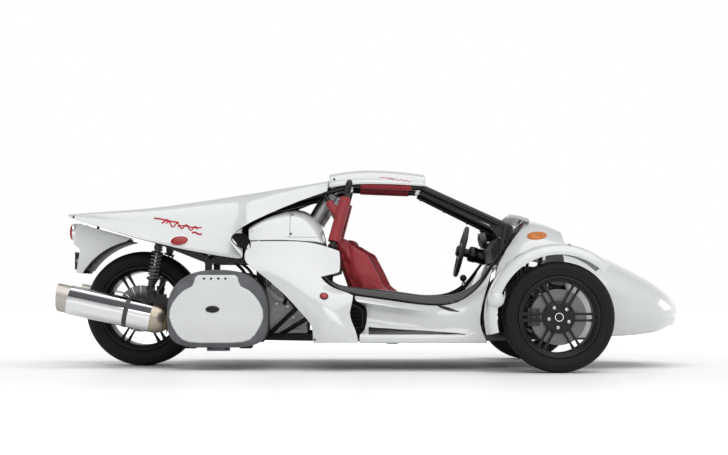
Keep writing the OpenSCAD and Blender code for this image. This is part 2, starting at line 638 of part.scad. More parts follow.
module driver_controls() {
  z = ride_height + 3 + seat_gap;
  color("black") {
    // Gear lever on the centre line
    translate([along(548), 0, z]) {
      translate([-40, -35, 0]) cube([80, 70, 30]);
      tube([0, 0, 20], [-26, 0, 330], 14);
      translate([-28, 0, 348]) sphere(d = 40, $fn = 40);
    }
    // Three pedals on one cross shaft
    translate([along(690), 0, z]) {
      for (y = [85, 270]) translate([-15, y - 5, 0]) cube([30, 10, 60]);
      tube([0, 83, 45], [0, 272, 45], 16);
      for (y = [115, 178, 240]) {
        tube([0, y, 45], [-20, y, 200], 12);
        translate([-34, y - 24, 190]) cube([10, 48, 60]);
      }
    }
  }
}

seat_side = [[-100, 232], [30, 215], [400, 240], [436, 300], [400, 330], [30, 320], [-20, 400],
             [-190, 735], [-225, 742], [-252, 720], [-150, 430]];
bolster_side = [[-60, 300], [120, 300], [390, 300], [380, 345], [240, 375], [110, 412], [40, 468],
                [-60, 640], [-150, 700], [-205, 700]];
module seat(y, shift) {
  w = seat_w;
  low = ride_height + 3 + seat_gap;
  translate([along(shift), y, 0]) {
    color("firebrick") translate([0, 0, ride_height - 150]) rotate([90, 0, 0]) intersection() {
      union() {
        linear_extrude(height = w - 120, center = true) polygon(seat_side);
        for (s = [-1, 1]) translate([0, 0, s * (w / 2 - 30)])
          linear_extrude(height = 60, center = true)
            union() { polygon(seat_side); polygon(bolster_side); }
      }
      // The back tapers towards its top
      rotate([0, 90, 0]) linear_extrude(height = 1200, center = true)
        polygon([[-w / 2, 200], [w / 2, 200], [w / 2, 520], [w / 2 - 62, 760], [62 - w / 2, 760], [-w / 2, 520]]);
    }
    color("black") for (s = [-1, 1])
      translate([0, s * (w / 2 - 80) - 12, low])
        cube([360, 24, 236 + ride_height - 150 - low]);
  }
}
seat_y = seat_w / 2 + 6;
module driver_seat() seat(seat_y, 72);
module passenger_seat() seat(-seat_y, 22);

module cage_padding() {
  bore = frame_tube_d + 2 * seat_gap;
  module sleeve(a, b, from, to, extra) {
    v = b - a;
    difference() {
      tube(a + v * from, a + v * to, frame_tube_d + extra);
      tube(a + v * (from - 0.01), a + v * (to + 0.01), bore);
    }
  }
  brace_foot = hoop_top + (hoop_foot - hoop_top) * brace_share;
  brace_top = hoop_top + (stay_bend - hoop_top) * 0.24;
  bar = hoop_top + (hoop_foot - hoop_top) * 0.52;
  color("firebrick") both_sides() {
    difference() {
      sleeve(hoop_top, hoop_foot, 0.20, 0.80, 34);
      tube(brace_foot, brace_top, frame_tube_d * 0.7 + 2 * seat_gap);
      tube(mirrored(bar), bar, frame_tube_d * 0.9 + 2 * seat_gap);
    }
    difference() {
      tube(brace_foot + (brace_top - brace_foot) * 0.2, brace_foot + (brace_top - brace_foot) * 0.62, frame_tube_d * 0.7 + 24);
      tube(brace_foot, brace_top, frame_tube_d * 0.7 + 2 * seat_gap);
      tube(hoop_top, hoop_foot, frame_tube_d + 34 + 2 * seat_gap);
    }
    sleeve(hoop_top, pillar_top, 0.14, 0.88, 16);
  }
}

module filter_shape(extra) {
  tube(body_point([-340, 190, 808]), body_point([-232, 190, 985]), 92 + extra);
}
module air_filters() {
  color("gray") both_sides() filter_shape(0);
}

// ---- Engine and exhaust ----
engine_low = ride_height + rail_z + frame_tube_d / 2 + seat_gap;
module engine() {
  color("silver") translate([along(-570), 0, engine_low]) {
    translate([-195, -270, 0]) cube([390, 540, 190]);
    translate([-60, -250, 160]) rotate([0, 25, 0]) cube([200, 500, 190]);
    translate([-190, -170, 178]) cube([150, 340, 130]);
    for (y = [-290, 270]) translate([40, y, 90]) lay_across() cylinder(h = 20, r = 78, $fn = 64);
    for (y = [-290, 270]) translate([-110, y, 66]) lay_across() cylinder(h = 20, r = 58, $fn = 64);
  }
}

silencer_y = 400;
silencer_back = [rear_axle_x - rear_overhang, silencer_y, 392];
silencer_front = [rear_axle_x + 165, silencer_y, 262];
module exhausts() {
  v = unit(silencer_front - silencer_back);
  port = [along(-690), 270 + seat_gap, engine_low + 158];
  color("silver") both_sides() {
    difference() {
      union() {
        tube(silencer_back + 58 * v, silencer_front, silencer_d);
        tube(silencer_back + 17 * v, silencer_back + 60 * v, silencer_d - 10);
        tube(silencer_front - 2 * v, silencer_front + 20 * v, silencer_d - 30);
        tube_run([silencer_front + 10 * v, [along(-1010), 385, 236], [along(-840), 350, 280],
                  [port[0], 330, port[2]], port], 54);
      }
      tube(silencer_back + 10 * v, silencer_back + 150 * v, 86);
    }
  }
}

// ---- Rear suspension ----
arm_y = 210;
rear_foot = [rear_axle_x + 62, arm_y + 22 + seat_gap + 16, rear_hub_z + 112];
rear_top = [along(-1212), 290, 672 + ride_height - 150];
module swingarm() {
  x = rear_axle_x;
  z = rear_hub_z;
  p = pivot_x + 22;
  color("dimgray") difference() {
    union() {
      both_sides() {
        translate([0, arm_y + 22, 0]) rotate([90, 0, 0]) linear_extrude(height = 44)
          polygon([[x - 52, z - 28], [x - 52, z + 28], [x + 60, z + 62], [p, z + 40], [p + 20, z],
                   [p, z - 36], [x + 60, z - 34]]);
        translate([rear_foot[0] - 22, arm_y + 2, z + 40]) cube([44, 20, rear_foot[2] - z - 22]);
      }
      translate([pivot_x, -arm_y, z]) lay_across() cylinder(h = 2 * arm_y, r = 32, $fn = 48);
      translate([x, -arm_y - 42, z]) lay_across() cylinder(h = 2 * arm_y + 84, r = rear_axle_r, $fn = 48);
      // Caliper over the disc, on the right arm
      translate([x + 60, -arm_y + 8, z + 20]) cube([84, 44, 62]);
    }
    translate([x, -172, z]) lay_across() cylinder(h = 14, r = 142, $fn = 64);
    translate([pivot_x, -arm_y - 30, z]) lay_across() cylinder(h = 2 * arm_y + 60, r = 14, $fn = 48);
  }
}
module coil_shock(top, foot, spring_d, turns) {
  v = unit(top - foot);
  l = norm(top - foot);
  tube(foot, foot + v * l * 0.5, 40);
  tube(foot + v * l * 0.4, top, 22);
  for (i = [0 : turns - 1])
    tube(foot + v * l * (0.24 + 0.6 * i / turns), foot + v * l * (0.24 + 0.6 * (i + 0.55) / turns), spring_d);
  for (end = [foot, top])
    translate(end - [0, 16, 0]) lay_across() cylinder(h = 32, d = 44, $fn = 40);
}
module rear_suspension() {
  swingarm();
  color("gray") both_sides() coil_shock(rear_top, rear_foot, 62, 5);
}

// ---- Front suspension ----
lower_joint = [front_axle_x, kingpin_y, front_hub_z - 101];
upper_joint = [front_axle_x, kingpin_y, front_hub_z + 101];
joint_pin_r = 8;
bush_y = across(262) + frame_tube_d / 2 + 18 + seat_gap;
shock_top = [front_axle_x, across(262) + 15 + seat_gap + 16, 545 + ride_height - 150];
shock_plate_z = lower_joint[2] + 16;
shock_foot = [front_axle_x, kingpin_y - 230, shock_plate_z + seat_gap + 22];
module wishbone(joint, spread, inner_z) {
  for (dx = [-spread, spread]) {
    tube([joint[0] + dx, bush_y, inner_z], joint + [dx * 0.04, -14, 0], 24);
    translate([joint[0] + dx - 20, bush_y, inner_z]) rotate([0, 90, 0]) cylinder(h = 40, d = 36, $fn = 40);
  }
}
module front_suspension() {
  color("black") both_sides() difference() {
    union() {
      wishbone(lower_joint, 75, ride_height + 38);
      wishbone(upper_joint, 70, 440 + ride_height - 150);
      for (joint = [lower_joint, upper_joint])
        translate(joint - [0, 0, 11]) cylinder(h = 22, r = 19, $fn = 48);
      translate([front_axle_x - 44, shock_foot[1] - 22, shock_plate_z - 10]) cube([88, 44, 10]);
    }
    for (joint = [lower_joint, upper_joint])
      translate(joint - [0, 0, 30]) cylinder(h = 60, r = joint_pin_r + running, $fn = 48);
  }
  color("gray") both_sides() coil_shock(shock_top, shock_foot, 60, 6);
}

// Local frame of a front wheel: origin at the hub's centre, +Y outboard.
module at_front_wheel(s) side(s) translate([front_axle_x, front_wheel_y, front_hub_z]) children();

module knuckle(s) {
  pin_reach = 113;
  post = 88;
  arm_z = rack_z + 21.7 - front_hub_z;
  color("silver") at_front_wheel(s) difference() {
    union() {
      translate([0, -kingpin_offset, -post]) cylinder(h = 2 * post, r = 22, $fn = 48);
      translate([0, -kingpin_offset, -pin_reach]) cylinder(h = 2 * pin_reach, r = joint_pin_r, $fn = 48);
      translate([0, -kingpin_offset, 0]) lay_across() cylinder(h = kingpin_offset + 62, r = spindle_r, $fn = 64);
      translate([0, -kingpin_offset, 0]) lay_across() cylinder(h = kingpin_offset - 6, r = 42, $fn = 64);
      tube([0, -kingpin_offset, arm_z], [-steering_arm, -kingpin_offset - 10, arm_z], 20);
      translate([-steering_arm, -kingpin_offset - 10, arm_z - 8]) cylinder(h = 18, r = 16, $fn = 40);
      // Caliper, behind the axle
      translate([-162, -22, -46]) cube([64, 60, 92]);
      translate([-120, -kingpin_offset - 10, 8]) cube([120, kingpin_offset - 10, 30]);
    }
    translate([0, 2, 0]) lay_across() cylinder(h = 24, r = front_disc_d / 2 + 4, $fn = round_fn);
  }
}
// The disc slot leaves the spindle: it is drawn again through the slot.
module knuckle_whole(s) {
  color("silver") {
    knuckle(s);
    at_front_wheel(s) translate([0, -8, 0]) lay_across() cylinder(h = 70, r = spindle_r, $fn = 64);
  }
}

module tie_rods() {
  end_y = kingpin_y - 10;
  color("silver") {
    translate([rack_x, -end_y, rack_z]) lay_across() cylinder(h = 2 * end_y, r = 8, $fn = 40);
    translate([rack_x, -across(300), rack_z]) lay_across() cylinder(h = 2 * across(300), r = rack_r, $fn = 48);
    both_sides() translate([rack_x, end_y, rack_z - 10]) cylinder(h = 20, r = 14, $fn = 40);
  }
}

// ---- Wheels ----
// A tyre's half section: the bead lies inside the rim's flange, then the sidewall
// rises past it and turns over into the tread.
rim_share = 0.9;
function tyre_half(d, w, rim_d) =
  let (r = d / 2, b = rim_d / 2, h = r - b, f = rim_share * w / 2)
  concat([[b + seat_gap, f - 32], [b + seat_gap, f - 12], [b + 10.5, f - 6.5]],
    spline([[b + 12, f - 3], [b + 0.45 * h, 0.5 * w], [b + 0.78 * h, 0.482 * w],
            [r - 0.10 * h, 0.44 * w], [r - 0.02 * h, 0.37 * w], [r, 0.25 * w], [r, 0]], 3));
module tyre(d, w, rim_d) {
  half = tyre_half(d, w, rim_d);
  n = len(half);
  color("black") rotate([90, 0, 0]) rotate_extrude($fn = round_fn)
    polygon(concat(half, [for (i = [n - 2 : -1 : 0]) [half[i][0], -half[i][1]]]));
}

// A rim about the Z axis, its outer face towards +Z; spokes lie from spoke_z up.
module rim_barrel(rim_d, w) {
  b = rim_d / 2;
  h = w / 2;
  rotate_extrude($fn = round_fn)
    polygon([[b + 10, -h], [b + 10, -h + 5], [b, -h + 10], [b, h - 10], [b + 10, h - 5], [b + 10, h],
             [b - 3, h], [b - 12, h - 14], [b - 15, h - 30], [b - 15, -h + 16], [b - 4, -h]]);
}
module spoke_pairs(count, gap, inner_r, outer_r, z0, depth, width) {
  for (i = [0 : count - 1], s = [-1, 1])
    rotate([0, 0, 360 / count * i])
      translate([inner_r, s * gap / 2 - width / 2, z0]) cube([outer_r - inner_r, width, depth]);
}

module front_rim(s) {
  rim_w = front_tyre_w * rim_share;
  color("dimgray") at_front_wheel(s) rotate([-90, 0, 0]) {
    difference() {
      union() {
        rim_barrel(front_rim_d, rim_w);
        spoke_pairs(6, 34, 50, front_rim_d / 2 - 6, 44, 24, 15);
        translate([0, 0, 31]) cylinder(h = 38, r = 84, $fn = 64);
      }
      translate([0, 0, 0]) cylinder(h = 64, r = spindle_r + running, $fn = 64);
      for (i = [0 : 4]) rotate([0, 0, 90 + 72 * i + 36]) translate([54, 0, 52]) cylinder(h = 30, r = 9, $fn = 32);
    }
    // Brake disc and its bell
    difference() {
      union() {
        translate([0, 0, 4]) cylinder(h = 20, d = front_disc_d, $fn = round_fn);
        translate([0, 0, 4]) cylinder(h = 28, r = 74, $fn = 64);
      }
      cylinder(h = 80, r = spindle_r + running, $fn = 64);
    }
  }
}

module at_rear_wheel() translate([rear_axle_x, 0, rear_hub_z]) children();
module rear_rim() {
  rim_w = rear_tyre_w * rim_share;
  color("dimgray") at_rear_wheel() rotate([90, 0, 0]) difference() {
    union() {
      rim_barrel(rear_rim_d, rim_w);
      spoke_pairs(6, 36, 40, rear_rim_d / 2 - 6, 40, 30, 16);
      translate([0, 0, -162]) cylinder(h = 324, r = 46, $fn = 64);
      translate([0, 0, 34]) cylinder(h = 42, r = 80, $fn = 64);
      translate([0, 0, 162]) cylinder(h = 6, r = 132, $fn = round_fn);
      translate([0, 0, -168]) cylinder(h = 6, r = 100, $fn = round_fn);
    }
    translate([0, 0, -200]) cylinder(h = 400, r = rear_axle_r + running, $fn = 64);
  }
}

// ---- Panniers ----
pannier_x = -845;
pannier_z = 122;
pannier_y = 462;
box_depth = 138;
lid_depth = 96;
pannier_steps = 48;
function rounded(v, e) = sign(v) * pow(abs(v), e);
function pannier_outline(l, h, inset) = [
  for (i = [0 : pannier_steps - 1])
    let (a = 360 * i / pannier_steps, top = sin(a) >= 0,
         rise = top ? h * 0.55 : h * 0.45)
      [rounded(cos(a), top ? 0.82 : 0.5) * (l / 2 - inset),
       h * 0.45 + rounded(sin(a), top ? 0.86 : 0.5) * (rise - inset)]
];
module at_pannier(s) side(s)
  translate([along(pannier_x), pannier_y, pannier_z + ride_height - 150]) children();
lid_gap = 0.5;
hinge_z = -12;
hinge_pin_r = 4;
module hinge_barrel(x0, x1, r) translate([x0, box_depth + lid_gap / 2, hinge_z]) rotate([0, 90, 0])
  cylinder(h = x1 - x0, r = r, $fn = 40);
module pannier_box(s) {
  color("gray") at_pannier(s) {
    rotate([90, 0, 0]) mirror([0, 0, 1]) difference() {
      linear_extrude(height = box_depth) polygon(pannier_outline(pannier_l, pannier_h, 0));
      translate([0, 0, pannier_t]) linear_extrude(height = box_depth)
        polygon(pannier_outline(pannier_l, pannier_h, pannier_t));
    }
    for (x = [-62, 32]) {
      hinge_barrel(x, x + 30, 8);
      translate([x, box_depth - 22, hinge_z - 2]) cube([30, 21, 2 - hinge_z + pannier_t / 2]);
    }
    hinge_barrel(-62, 62, hinge_pin_r);
  }
}
module pannier_lid(s) {
  steps = 3;
  color("white") at_pannier(s) {
    translate([0, box_depth + lid_gap, 0]) rotate([90, 0, 0]) mirror([0, 0, 1])
      difference() {
        union() {
          linear_extrude(height = lid_depth - 30) polygon(pannier_outline(pannier_l, pannier_h, 0));
          for (i = [1 : steps])
            linear_extrude(height = lid_depth - 30 + 30 * sin(90 * i / steps))
              polygon(pannier_outline(pannier_l, pannier_h, 34 * (1 - cos(90 * i / steps))));
        }
        translate([0, 0, -1]) linear_extrude(height = lid_depth - 30 - pannier_t)
          polygon(pannier_outline(pannier_l, pannier_h, pannier_t));
      }
    difference() {
      union() {
        hinge_barrel(-31.5, 31.5, 8);
        translate([-31.5, box_depth + lid_gap + 0.6, hinge_z - 2]) cube([63, 14, 2 - hinge_z + pannier_t / 2]);
      }
      hinge_barrel(-33, 33, hinge_pin_r + running);
    }
  }
}

floor_pan();
lower_frame();
frame_fittings();
roll_cage();
nose_panel();
cowl_panel();
fender(1);  // fender_left
fender(-1);  // fender_right
side_pod(1);  // side_pod_left
side_pod(-1);  // side_pod_right
rear_quarter(1);  // rear_quarter_left
rear_quarter(-1);  // rear_quarter_right
roof_panel();
tail_panel();
engine_cover();
sill_trims();
intake_ducts();
rear_mudguard();
wind_deflector();
lamps();
dashboard();
steering_column();
driver_controls();
driver_seat();
passenger_seat();
cage_padding();
air_filters();
engine();
exhausts();
rear_suspension();
front_suspension();
pannier_box(1);  // pannier_box_left
pannier_box(-1);  // pannier_box_right
pannier_lid(1);  // pannier_lid_left
pannier_lid(-1);  // pannier_lid_right
steering_wheel();
tie_rods();
knuckle_whole(1);  // knuckle_left
knuckle_whole(-1);  // knuckle_right
at_front_wheel(1) tyre(front_tyre_d, front_tyre_w, front_rim_d);  // front_tyre_left
at_front_wheel(-1) tyre(front_tyre_d, front_tyre_w, front_rim_d);  // front_tyre_right
front_rim(1);  // front_rim_left
front_rim(-1);  // front_rim_right
at_rear_wheel() tyre(rear_tyre_d, rear_tyre_w, rear_rim_d);  // rear_tyre
rear_rim();
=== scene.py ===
import json
import math

import bmesh
import bpy
from bpy.props import FloatProperty, FloatVectorProperty, IntProperty, PointerProperty
from mathutils import Matrix, Vector

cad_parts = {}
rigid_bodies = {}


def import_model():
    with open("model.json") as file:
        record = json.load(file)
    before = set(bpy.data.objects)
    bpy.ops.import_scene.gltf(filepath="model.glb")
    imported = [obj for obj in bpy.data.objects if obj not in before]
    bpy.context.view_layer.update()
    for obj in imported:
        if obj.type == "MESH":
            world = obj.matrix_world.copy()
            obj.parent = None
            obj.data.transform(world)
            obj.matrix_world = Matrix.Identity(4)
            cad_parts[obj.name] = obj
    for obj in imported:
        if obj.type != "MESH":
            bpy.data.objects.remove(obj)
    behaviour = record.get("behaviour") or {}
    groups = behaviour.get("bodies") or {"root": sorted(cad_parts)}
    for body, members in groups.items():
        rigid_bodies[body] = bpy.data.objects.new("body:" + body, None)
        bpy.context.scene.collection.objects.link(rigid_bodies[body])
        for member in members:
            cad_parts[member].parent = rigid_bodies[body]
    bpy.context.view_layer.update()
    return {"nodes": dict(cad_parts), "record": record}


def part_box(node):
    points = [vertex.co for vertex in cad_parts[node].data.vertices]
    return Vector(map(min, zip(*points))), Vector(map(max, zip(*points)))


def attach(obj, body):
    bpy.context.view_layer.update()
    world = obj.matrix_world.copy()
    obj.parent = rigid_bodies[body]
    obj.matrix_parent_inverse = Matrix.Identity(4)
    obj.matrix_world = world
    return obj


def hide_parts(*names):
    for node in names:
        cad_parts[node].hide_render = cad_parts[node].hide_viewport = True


bl_info = {
    "name": "Open three-wheeled car",
    "version": (1, 0, 0),
    "blender": (4, 5, 0),
    "location": "3D View > Sidebar > Car",
    "description": "Body, wheels, seats and fittings of an open three-wheeled two-seater",
    "category": "Object",
}

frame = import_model()
BODY_OF = {node: body for body, nodes in frame["record"]["behaviour"]["bodies"].items() for node in nodes}


def middle(node):
    """The centre of a frame node's box."""
    low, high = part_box(node)
    return (low + high) / 2


HUB_R, HUB_L, HUB_REAR = middle("front_tyre_right"), middle("front_tyre_left"), middle("rear_tyre")
REAR_TYRE_R = (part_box("rear_tyre")[1].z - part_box("rear_tyre")[0].z) / 2


# ---- Working by hand: small steps shared by every piece ----
def clear():
    """Object mode, with nothing selected."""
    if bpy.context.object and bpy.context.object.mode != "OBJECT":
        bpy.ops.object.mode_set(mode="OBJECT")
    bpy.ops.object.select_all(action="DESELECT")


def take(*objects):
    """Select only these objects; the last one is active."""
    clear()
    for o in objects:
        o.select_set(True)
    bpy.context.view_layer.objects.active = objects[-1]
    return objects[-1]


def primitive(name, kind, **settings):
    """A new primitive, under its own name."""
    clear()
    getattr(bpy.ops.mesh, f"primitive_{kind}_add")(**settings)
    o = bpy.context.object
    o.name = o.data.name = name
    bpy.ops.object.transform_apply(location=True, rotation=True, scale=True)
    return o


def edit(o, kind="VERT", everything=False):
    """Edit mode on o, with all or nothing selected."""
    take(o)
    bpy.ops.object.mode_set(mode="EDIT")
    bpy.ops.mesh.select_mode(type=kind)
    bpy.ops.mesh.select_all(action="SELECT" if everything else "DESELECT")


def pick(o, kind, test):
    """Edit mode with the elements selected whose test(middle, normal) holds. Returns how many."""
    edit(o, kind)
    mesh = bmesh.from_edit_mesh(o.data)
    mesh.normal_update()
    found = 0
    if kind == "FACE":
        for f in mesh.faces:
            if test(f.calc_center_median(), f.normal):
                f.select_set(True)
                found += 1
    elif kind == "EDGE":
        for e in mesh.edges:
            if test((e.verts[0].co + e.verts[1].co) / 2, (e.verts[1].co - e.verts[0].co).normalized()):
                e.select_set(True)
                found += 1
    else:
        for v in mesh.verts:
            if test(v.co, v.normal):
                v.select_set(True)
                found += 1
    bmesh.update_edit_mesh(o.data)
    return found


def press(o, test, inset, move):
    """Faces whose test(middle, normal) holds are inset, and the inner part is moved."""
    pick(o, "FACE", test)
    bpy.ops.mesh.inset(thickness=inset)
    bpy.ops.mesh.extrude_region_move(TRANSFORM_OT_translate={"value": move})
    clear()


def slots(steps, every):
    """A test for every so many faces round an axle."""
    return lambda c: round(math.atan2(c.z, c.x) / (2 * math.pi) * steps - 0.5) % every == 0


def trace(name, points, closed=False):
    """An edge line drawn point by point."""
    points = [Vector(p) for p in points]
    clear()
    bpy.ops.mesh.primitive_plane_add(size=0.001, location=points[0])
    o = bpy.context.object
    o.name = o.data.name = name
    edit(o, "VERT", everything=True)
    bpy.ops.mesh.merge(type="CENTER")
    for a, b in zip(points, points[1:]):
        bpy.ops.mesh.extrude_region_move(TRANSFORM_OT_translate={"value": b - a})
    if closed:
        bpy.ops.mesh.select_all(action="SELECT")
        bpy.ops.mesh.edge_face_add()
    clear()
    take(o)
    bpy.ops.object.transform_apply(location=True, rotation=True, scale=True)
    return o


def tidy_mesh(o, gap=0.00002):
    """Doubles merged, then every face turned outward."""
    edit(o, "VERT", everything=True)
    bpy.ops.mesh.remove_doubles(threshold=gap)
    bpy.ops.mesh.normals_make_consistent(inside=False)
    clear()
    return o


def turned(name, profile, steps=48, axis="Y", centre=(0, 0, 0)):
    """A profile of (radius, height) points spun about an axis through centre."""
    along = {"X": Vector((1, 0, 0)), "Y": Vector((0, 1, 0)), "Z": Vector((0, 0, 1))}[axis]
    out = Vector((0, 0, 1)) if axis != "Z" else Vector((1, 0, 0))
    o = trace(name, [out * r + along * h for r, h in profile])
    edit(o, "VERT", everything=True)
    bpy.ops.mesh.spin(steps=steps, angle=2 * math.pi, center=(0, 0, 0), axis=along)
    tidy_mesh(o)
    o.data.transform(Matrix.Translation(Vector(centre)))
    return o


def prism(name, outline, depth, direction):
    """A closed outline filled and drawn out along a direction."""
    o = trace(name, outline, closed=True)
    edit(o, "FACE", everything=True)
    bpy.ops.mesh.extrude_region_move(TRANSFORM_OT_translate={"value": Vector(direction).normalized() * depth})
    return tidy_mesh(o)


def modify(o, kind, **settings):
    """A modifier added and applied at once."""
    take(o)
    m = o.modifiers.new(kind.title(), kind)
    for key, value in settings.items():
        setattr(m, key, value)
    bpy.ops.object.modifier_apply(modifier=m.name)
    return o


def round_edges(o, width, segments=2, angle=35):
    """Edges sharper than the angle are rounded."""
    return modify(o, "BEVEL", width=width, segments=segments, limit_method="ANGLE",
                  angle_limit=math.radians(angle), use_clamp_overlap=True)


def smooth(o, angle=35):
    """Smooth shading, broken at edges sharper than the angle."""
    take(o)
    bpy.ops.object.shade_smooth_by_angle(angle=math.radians(angle))
    return o


def crease(o, angle, weight):
    """Sharp edges are kept through a subdivision."""
    mesh = bmesh.new()
    mesh.from_mesh(o.data)
    sharp = [1.0 if len(e.link_faces) != 2 or e.calc_face_angle(0) > math.radians(angle) else 0.0 for e in mesh.edges]
    mesh.free()
    layer = o.data.attributes.new("crease_edge", "FLOAT", "EDGE")
    layer.data.foreach_set("value", [s * weight for s in sharp])
    return o


def copies(o, matrices):
    """Repeats of the piece, one for each matrix, each with its own mesh; the piece itself is removed."""
    made = []
    for m in matrices:
        take(o)
        bpy.ops.object.duplicate()
        twin = bpy.context.object
        twin.data.transform(m)
        if m.determinant() < 0:
            twin.data.flip_normals()
        made.append(twin)
    bpy.data.objects.remove(o)
    return made


def join(name, pieces):
    """Several pieces made one, under a new name."""
    take(*pieces)
    if len(pieces) > 1:
        bpy.ops.object.join()
    o = bpy.context.object
    o.name = o.data.name = name
    return o


def between(a, b):
    """A matrix that lays +Z along a to b, starting at a."""
    a, b = Vector(a), Vector(b)
    return Matrix.Translation(a) @ (b - a).to_track_quat("Z", "X").to_matrix().to_4x4()


MIRROR = Matrix.Scale(-1, 4, Vector((0, 1, 0)))


def finish_piece(o, finish, body="chassis", angle=35):
    """Last steps of every piece: finish, shading and body."""
    if finish is not None:
        o.data.materials.clear()
        o.data.materials.append(MATERIALS[finish])
    if angle is not None:
        smooth(o, angle)
    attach(o, body)
    return o


def frame_copy(node, name):
    """A welded copy of a frame node, to be worked on."""
    o = bpy.data.objects.new(name, frame["nodes"][node].data.copy())
    o.data.name = name
    bpy.context.scene.collection.objects.link(o)
    o.data.materials.clear()
    for layer in list(o.data.uv_layers):
        o.data.uv_layers.remove(layer)
    edit(o, "VERT", everything=True)
    bpy.ops.mesh.customdata_custom_splitnormals_clear()
    bpy.ops.mesh.remove_doubles(threshold=0.00002)
    bpy.ops.mesh.tris_convert_to_quads(face_threshold=math.radians(25), shape_threshold=math.radians(60))
    clear()
    return o


# ---- Materials ----
INTAKE_R = 0.046
MATERIALS = {}


class Wire:
    """A value in a material's nodes, so that sums read as plain expressions."""

    def __init__(self, finish, socket):
        self.finish, self.socket = finish, socket

    def math(self, operation, *values):
        return self.finish.add("ShaderNodeMath", {"operation": operation}, *values)

    def __add__(self, o):
        return self.math("ADD", self, o)

    def __sub__(self, o):
        return self.math("SUBTRACT", self, o)

    def __rsub__(self, o):
        return self.math("SUBTRACT", o, self)

    def __mul__(self, o):
        return self.math("MULTIPLY", self, o)

    def __pow__(self, o):
        return self.math("POWER", self, o)

    __radd__, __rmul__ = __add__, __mul__

    def above(self, low, high):
        """0 below low, 1 above high, smooth between."""
        return self.finish.add("ShaderNodeMapRange", {"interpolation_type": "SMOOTHSTEP"}, self, low, high)

    def wave(self):
        return self.math("SINE", self)


class Finish:
    """One surface finish: a shader with constants on its sockets and what varies wired in."""

    def __init__(self, name, colour, roughness=0.5, metallic=0.0, **constants):
        self.material = MATERIALS[name] = bpy.data.materials.new(name)
        self.material.use_nodes = True
        self.nodes, self.links = self.material.node_tree.nodes, self.material.node_tree.links
        self.shader = next(n for n in self.nodes if n.type == "BSDF_PRINCIPLED")
        self.place = None
        self.put("Base Color", (*colour[:3], 1))
        self.put("Roughness", roughness)
        self.put("Metallic", metallic)
        for key, value in constants.items():
            self.put(key.replace("_", " ").title().replace("Ior", "IOR"), value)
        self.material.diffuse_color = (*colour[:3], 1)

    def add(self, kind, settings, *values, out=0, **named):
        node = self.nodes.new(kind)
        for key, value in settings.items():
            if key == "stops":
                ramp = node.color_ramp.elements
                while len(ramp) < len(value):
                    ramp.new(0.5)
                for stop, (at, shade) in zip(ramp, value):
                    stop.position, stop.color = at, (*shade[:3], 1)
            else:
                setattr(node, key, value)
        for key, value in [*enumerate(values), *named.items()]:
            socket = node.inputs[key]
            if isinstance(value, Wire):
                self.links.new(value.socket, socket)
            elif value is not None:
                socket.default_value = value
        return Wire(self, node.outputs[out])

    def put(self, name, value):
        socket = self.shader.inputs[name]
        if isinstance(value, Wire):
            self.links.new(value.socket, socket)
        else:
            socket.default_value = value

    def where(self, centre=(0, 0, 0), stretch=(1, 1, 1), turn=(0, 0, 0)):
        """Object coordinates, centred, turned and stretched."""
        if self.place is None:
            self.place = self.add("ShaderNodeTexCoord", {}, out="Object")
        return self.add("ShaderNodeMapping", {"vector_type": "TEXTURE"}, self.place, tuple(centre), tuple(turn),
                        tuple(1 / s for s in stretch))

    def axes(self, at=None):
        split = self.nodes.new("ShaderNodeSeparateXYZ")
        self.links.new((at or self.where()).socket, split.inputs[0])
        return [Wire(self, s) for s in split.outputs]

    def noise(self, scale, detail=3.0, rough=0.5, at=None):
        return self.add("ShaderNodeTexNoise", {}, at or self.where(), Scale=scale, Detail=detail, Roughness=rough)

    def cells(self, scale, at=None, feature="F1"):
        return self.add("ShaderNodeTexVoronoi", {"feature": feature}, at or self.where(), Scale=scale)

    def blend(self, mask, a, b):
        """Colour a where the mask is 0, b where it is 1."""
        node = self.nodes.new("ShaderNodeMix")
        node.data_type = "RGBA"
        factor, first, second = node.inputs[0], node.inputs[6], node.inputs[7]
        for socket, value in ((factor, mask), (first, a), (second, b)):
            if isinstance(value, Wire):
                self.links.new(value.socket, socket)
            else:
                socket.default_value = value if socket == factor else (*value[:3], 1)
        return Wire(self, node.outputs[2])

    def bump(self, height, strength=0.4, depth=0.001):
        self.put("Normal", self.add("ShaderNodeBump", {}, Strength=strength, Distance=depth, Height=height))
        return self


def shade(colour, by):
    """The colour, darker or lighter by a factor."""
    return tuple(min(1.0, max(0.0, c * by)) for c in colour[:3])


def paint_finish(name, colour, roughness=0.16):
    """Gloss paint: orange peel, faint road dust low down, clear coat."""
    f = Finish(name, colour, roughness, coat_weight=1.0, coat_roughness=0.04, coat_ior=1.5)
    cloud = f.noise(3.5, 4)
    z = f.axes()[2]
    dust = (1 - z.above(0.14, 0.42)) * f.noise(38, 5, 0.65).above(0.42, 0.75)
    f.put("Base Color", f.blend(dust * 0.35, f.blend(cloud.above(0.3, 0.7), shade(colour, 0.975), colour),
                                (0.52, 0.49, 0.45)))
    f.put("Roughness", roughness + dust * 0.3 + f.noise(60, 2) * 0.05)
    f.bump(f.noise(420, 2), 0.06, 0.0004)


def coated_finish(name, colour, roughness=0.3, metallic=0.0, grain=900, coat=0.6):
    """Powder coat or enamel over steel, a little brighter where it has rubbed."""
    f = Finish(name, colour, roughness, metallic, coat_weight=coat * 0.5, coat_roughness=0.12,
               specular_ior_level=0.28)
    rub = f.noise(24, 5, 0.7).above(0.62, 0.8)
    f.put("Base Color", f.blend(rub * 0.5, colour, tuple(c + 0.006 for c in colour[:3])))
    f.put("Roughness", roughness + rub * 0.12 + f.noise(140, 3) * 0.08)
    f.bump(f.noise(grain, 2), 0.12, 0.0004)


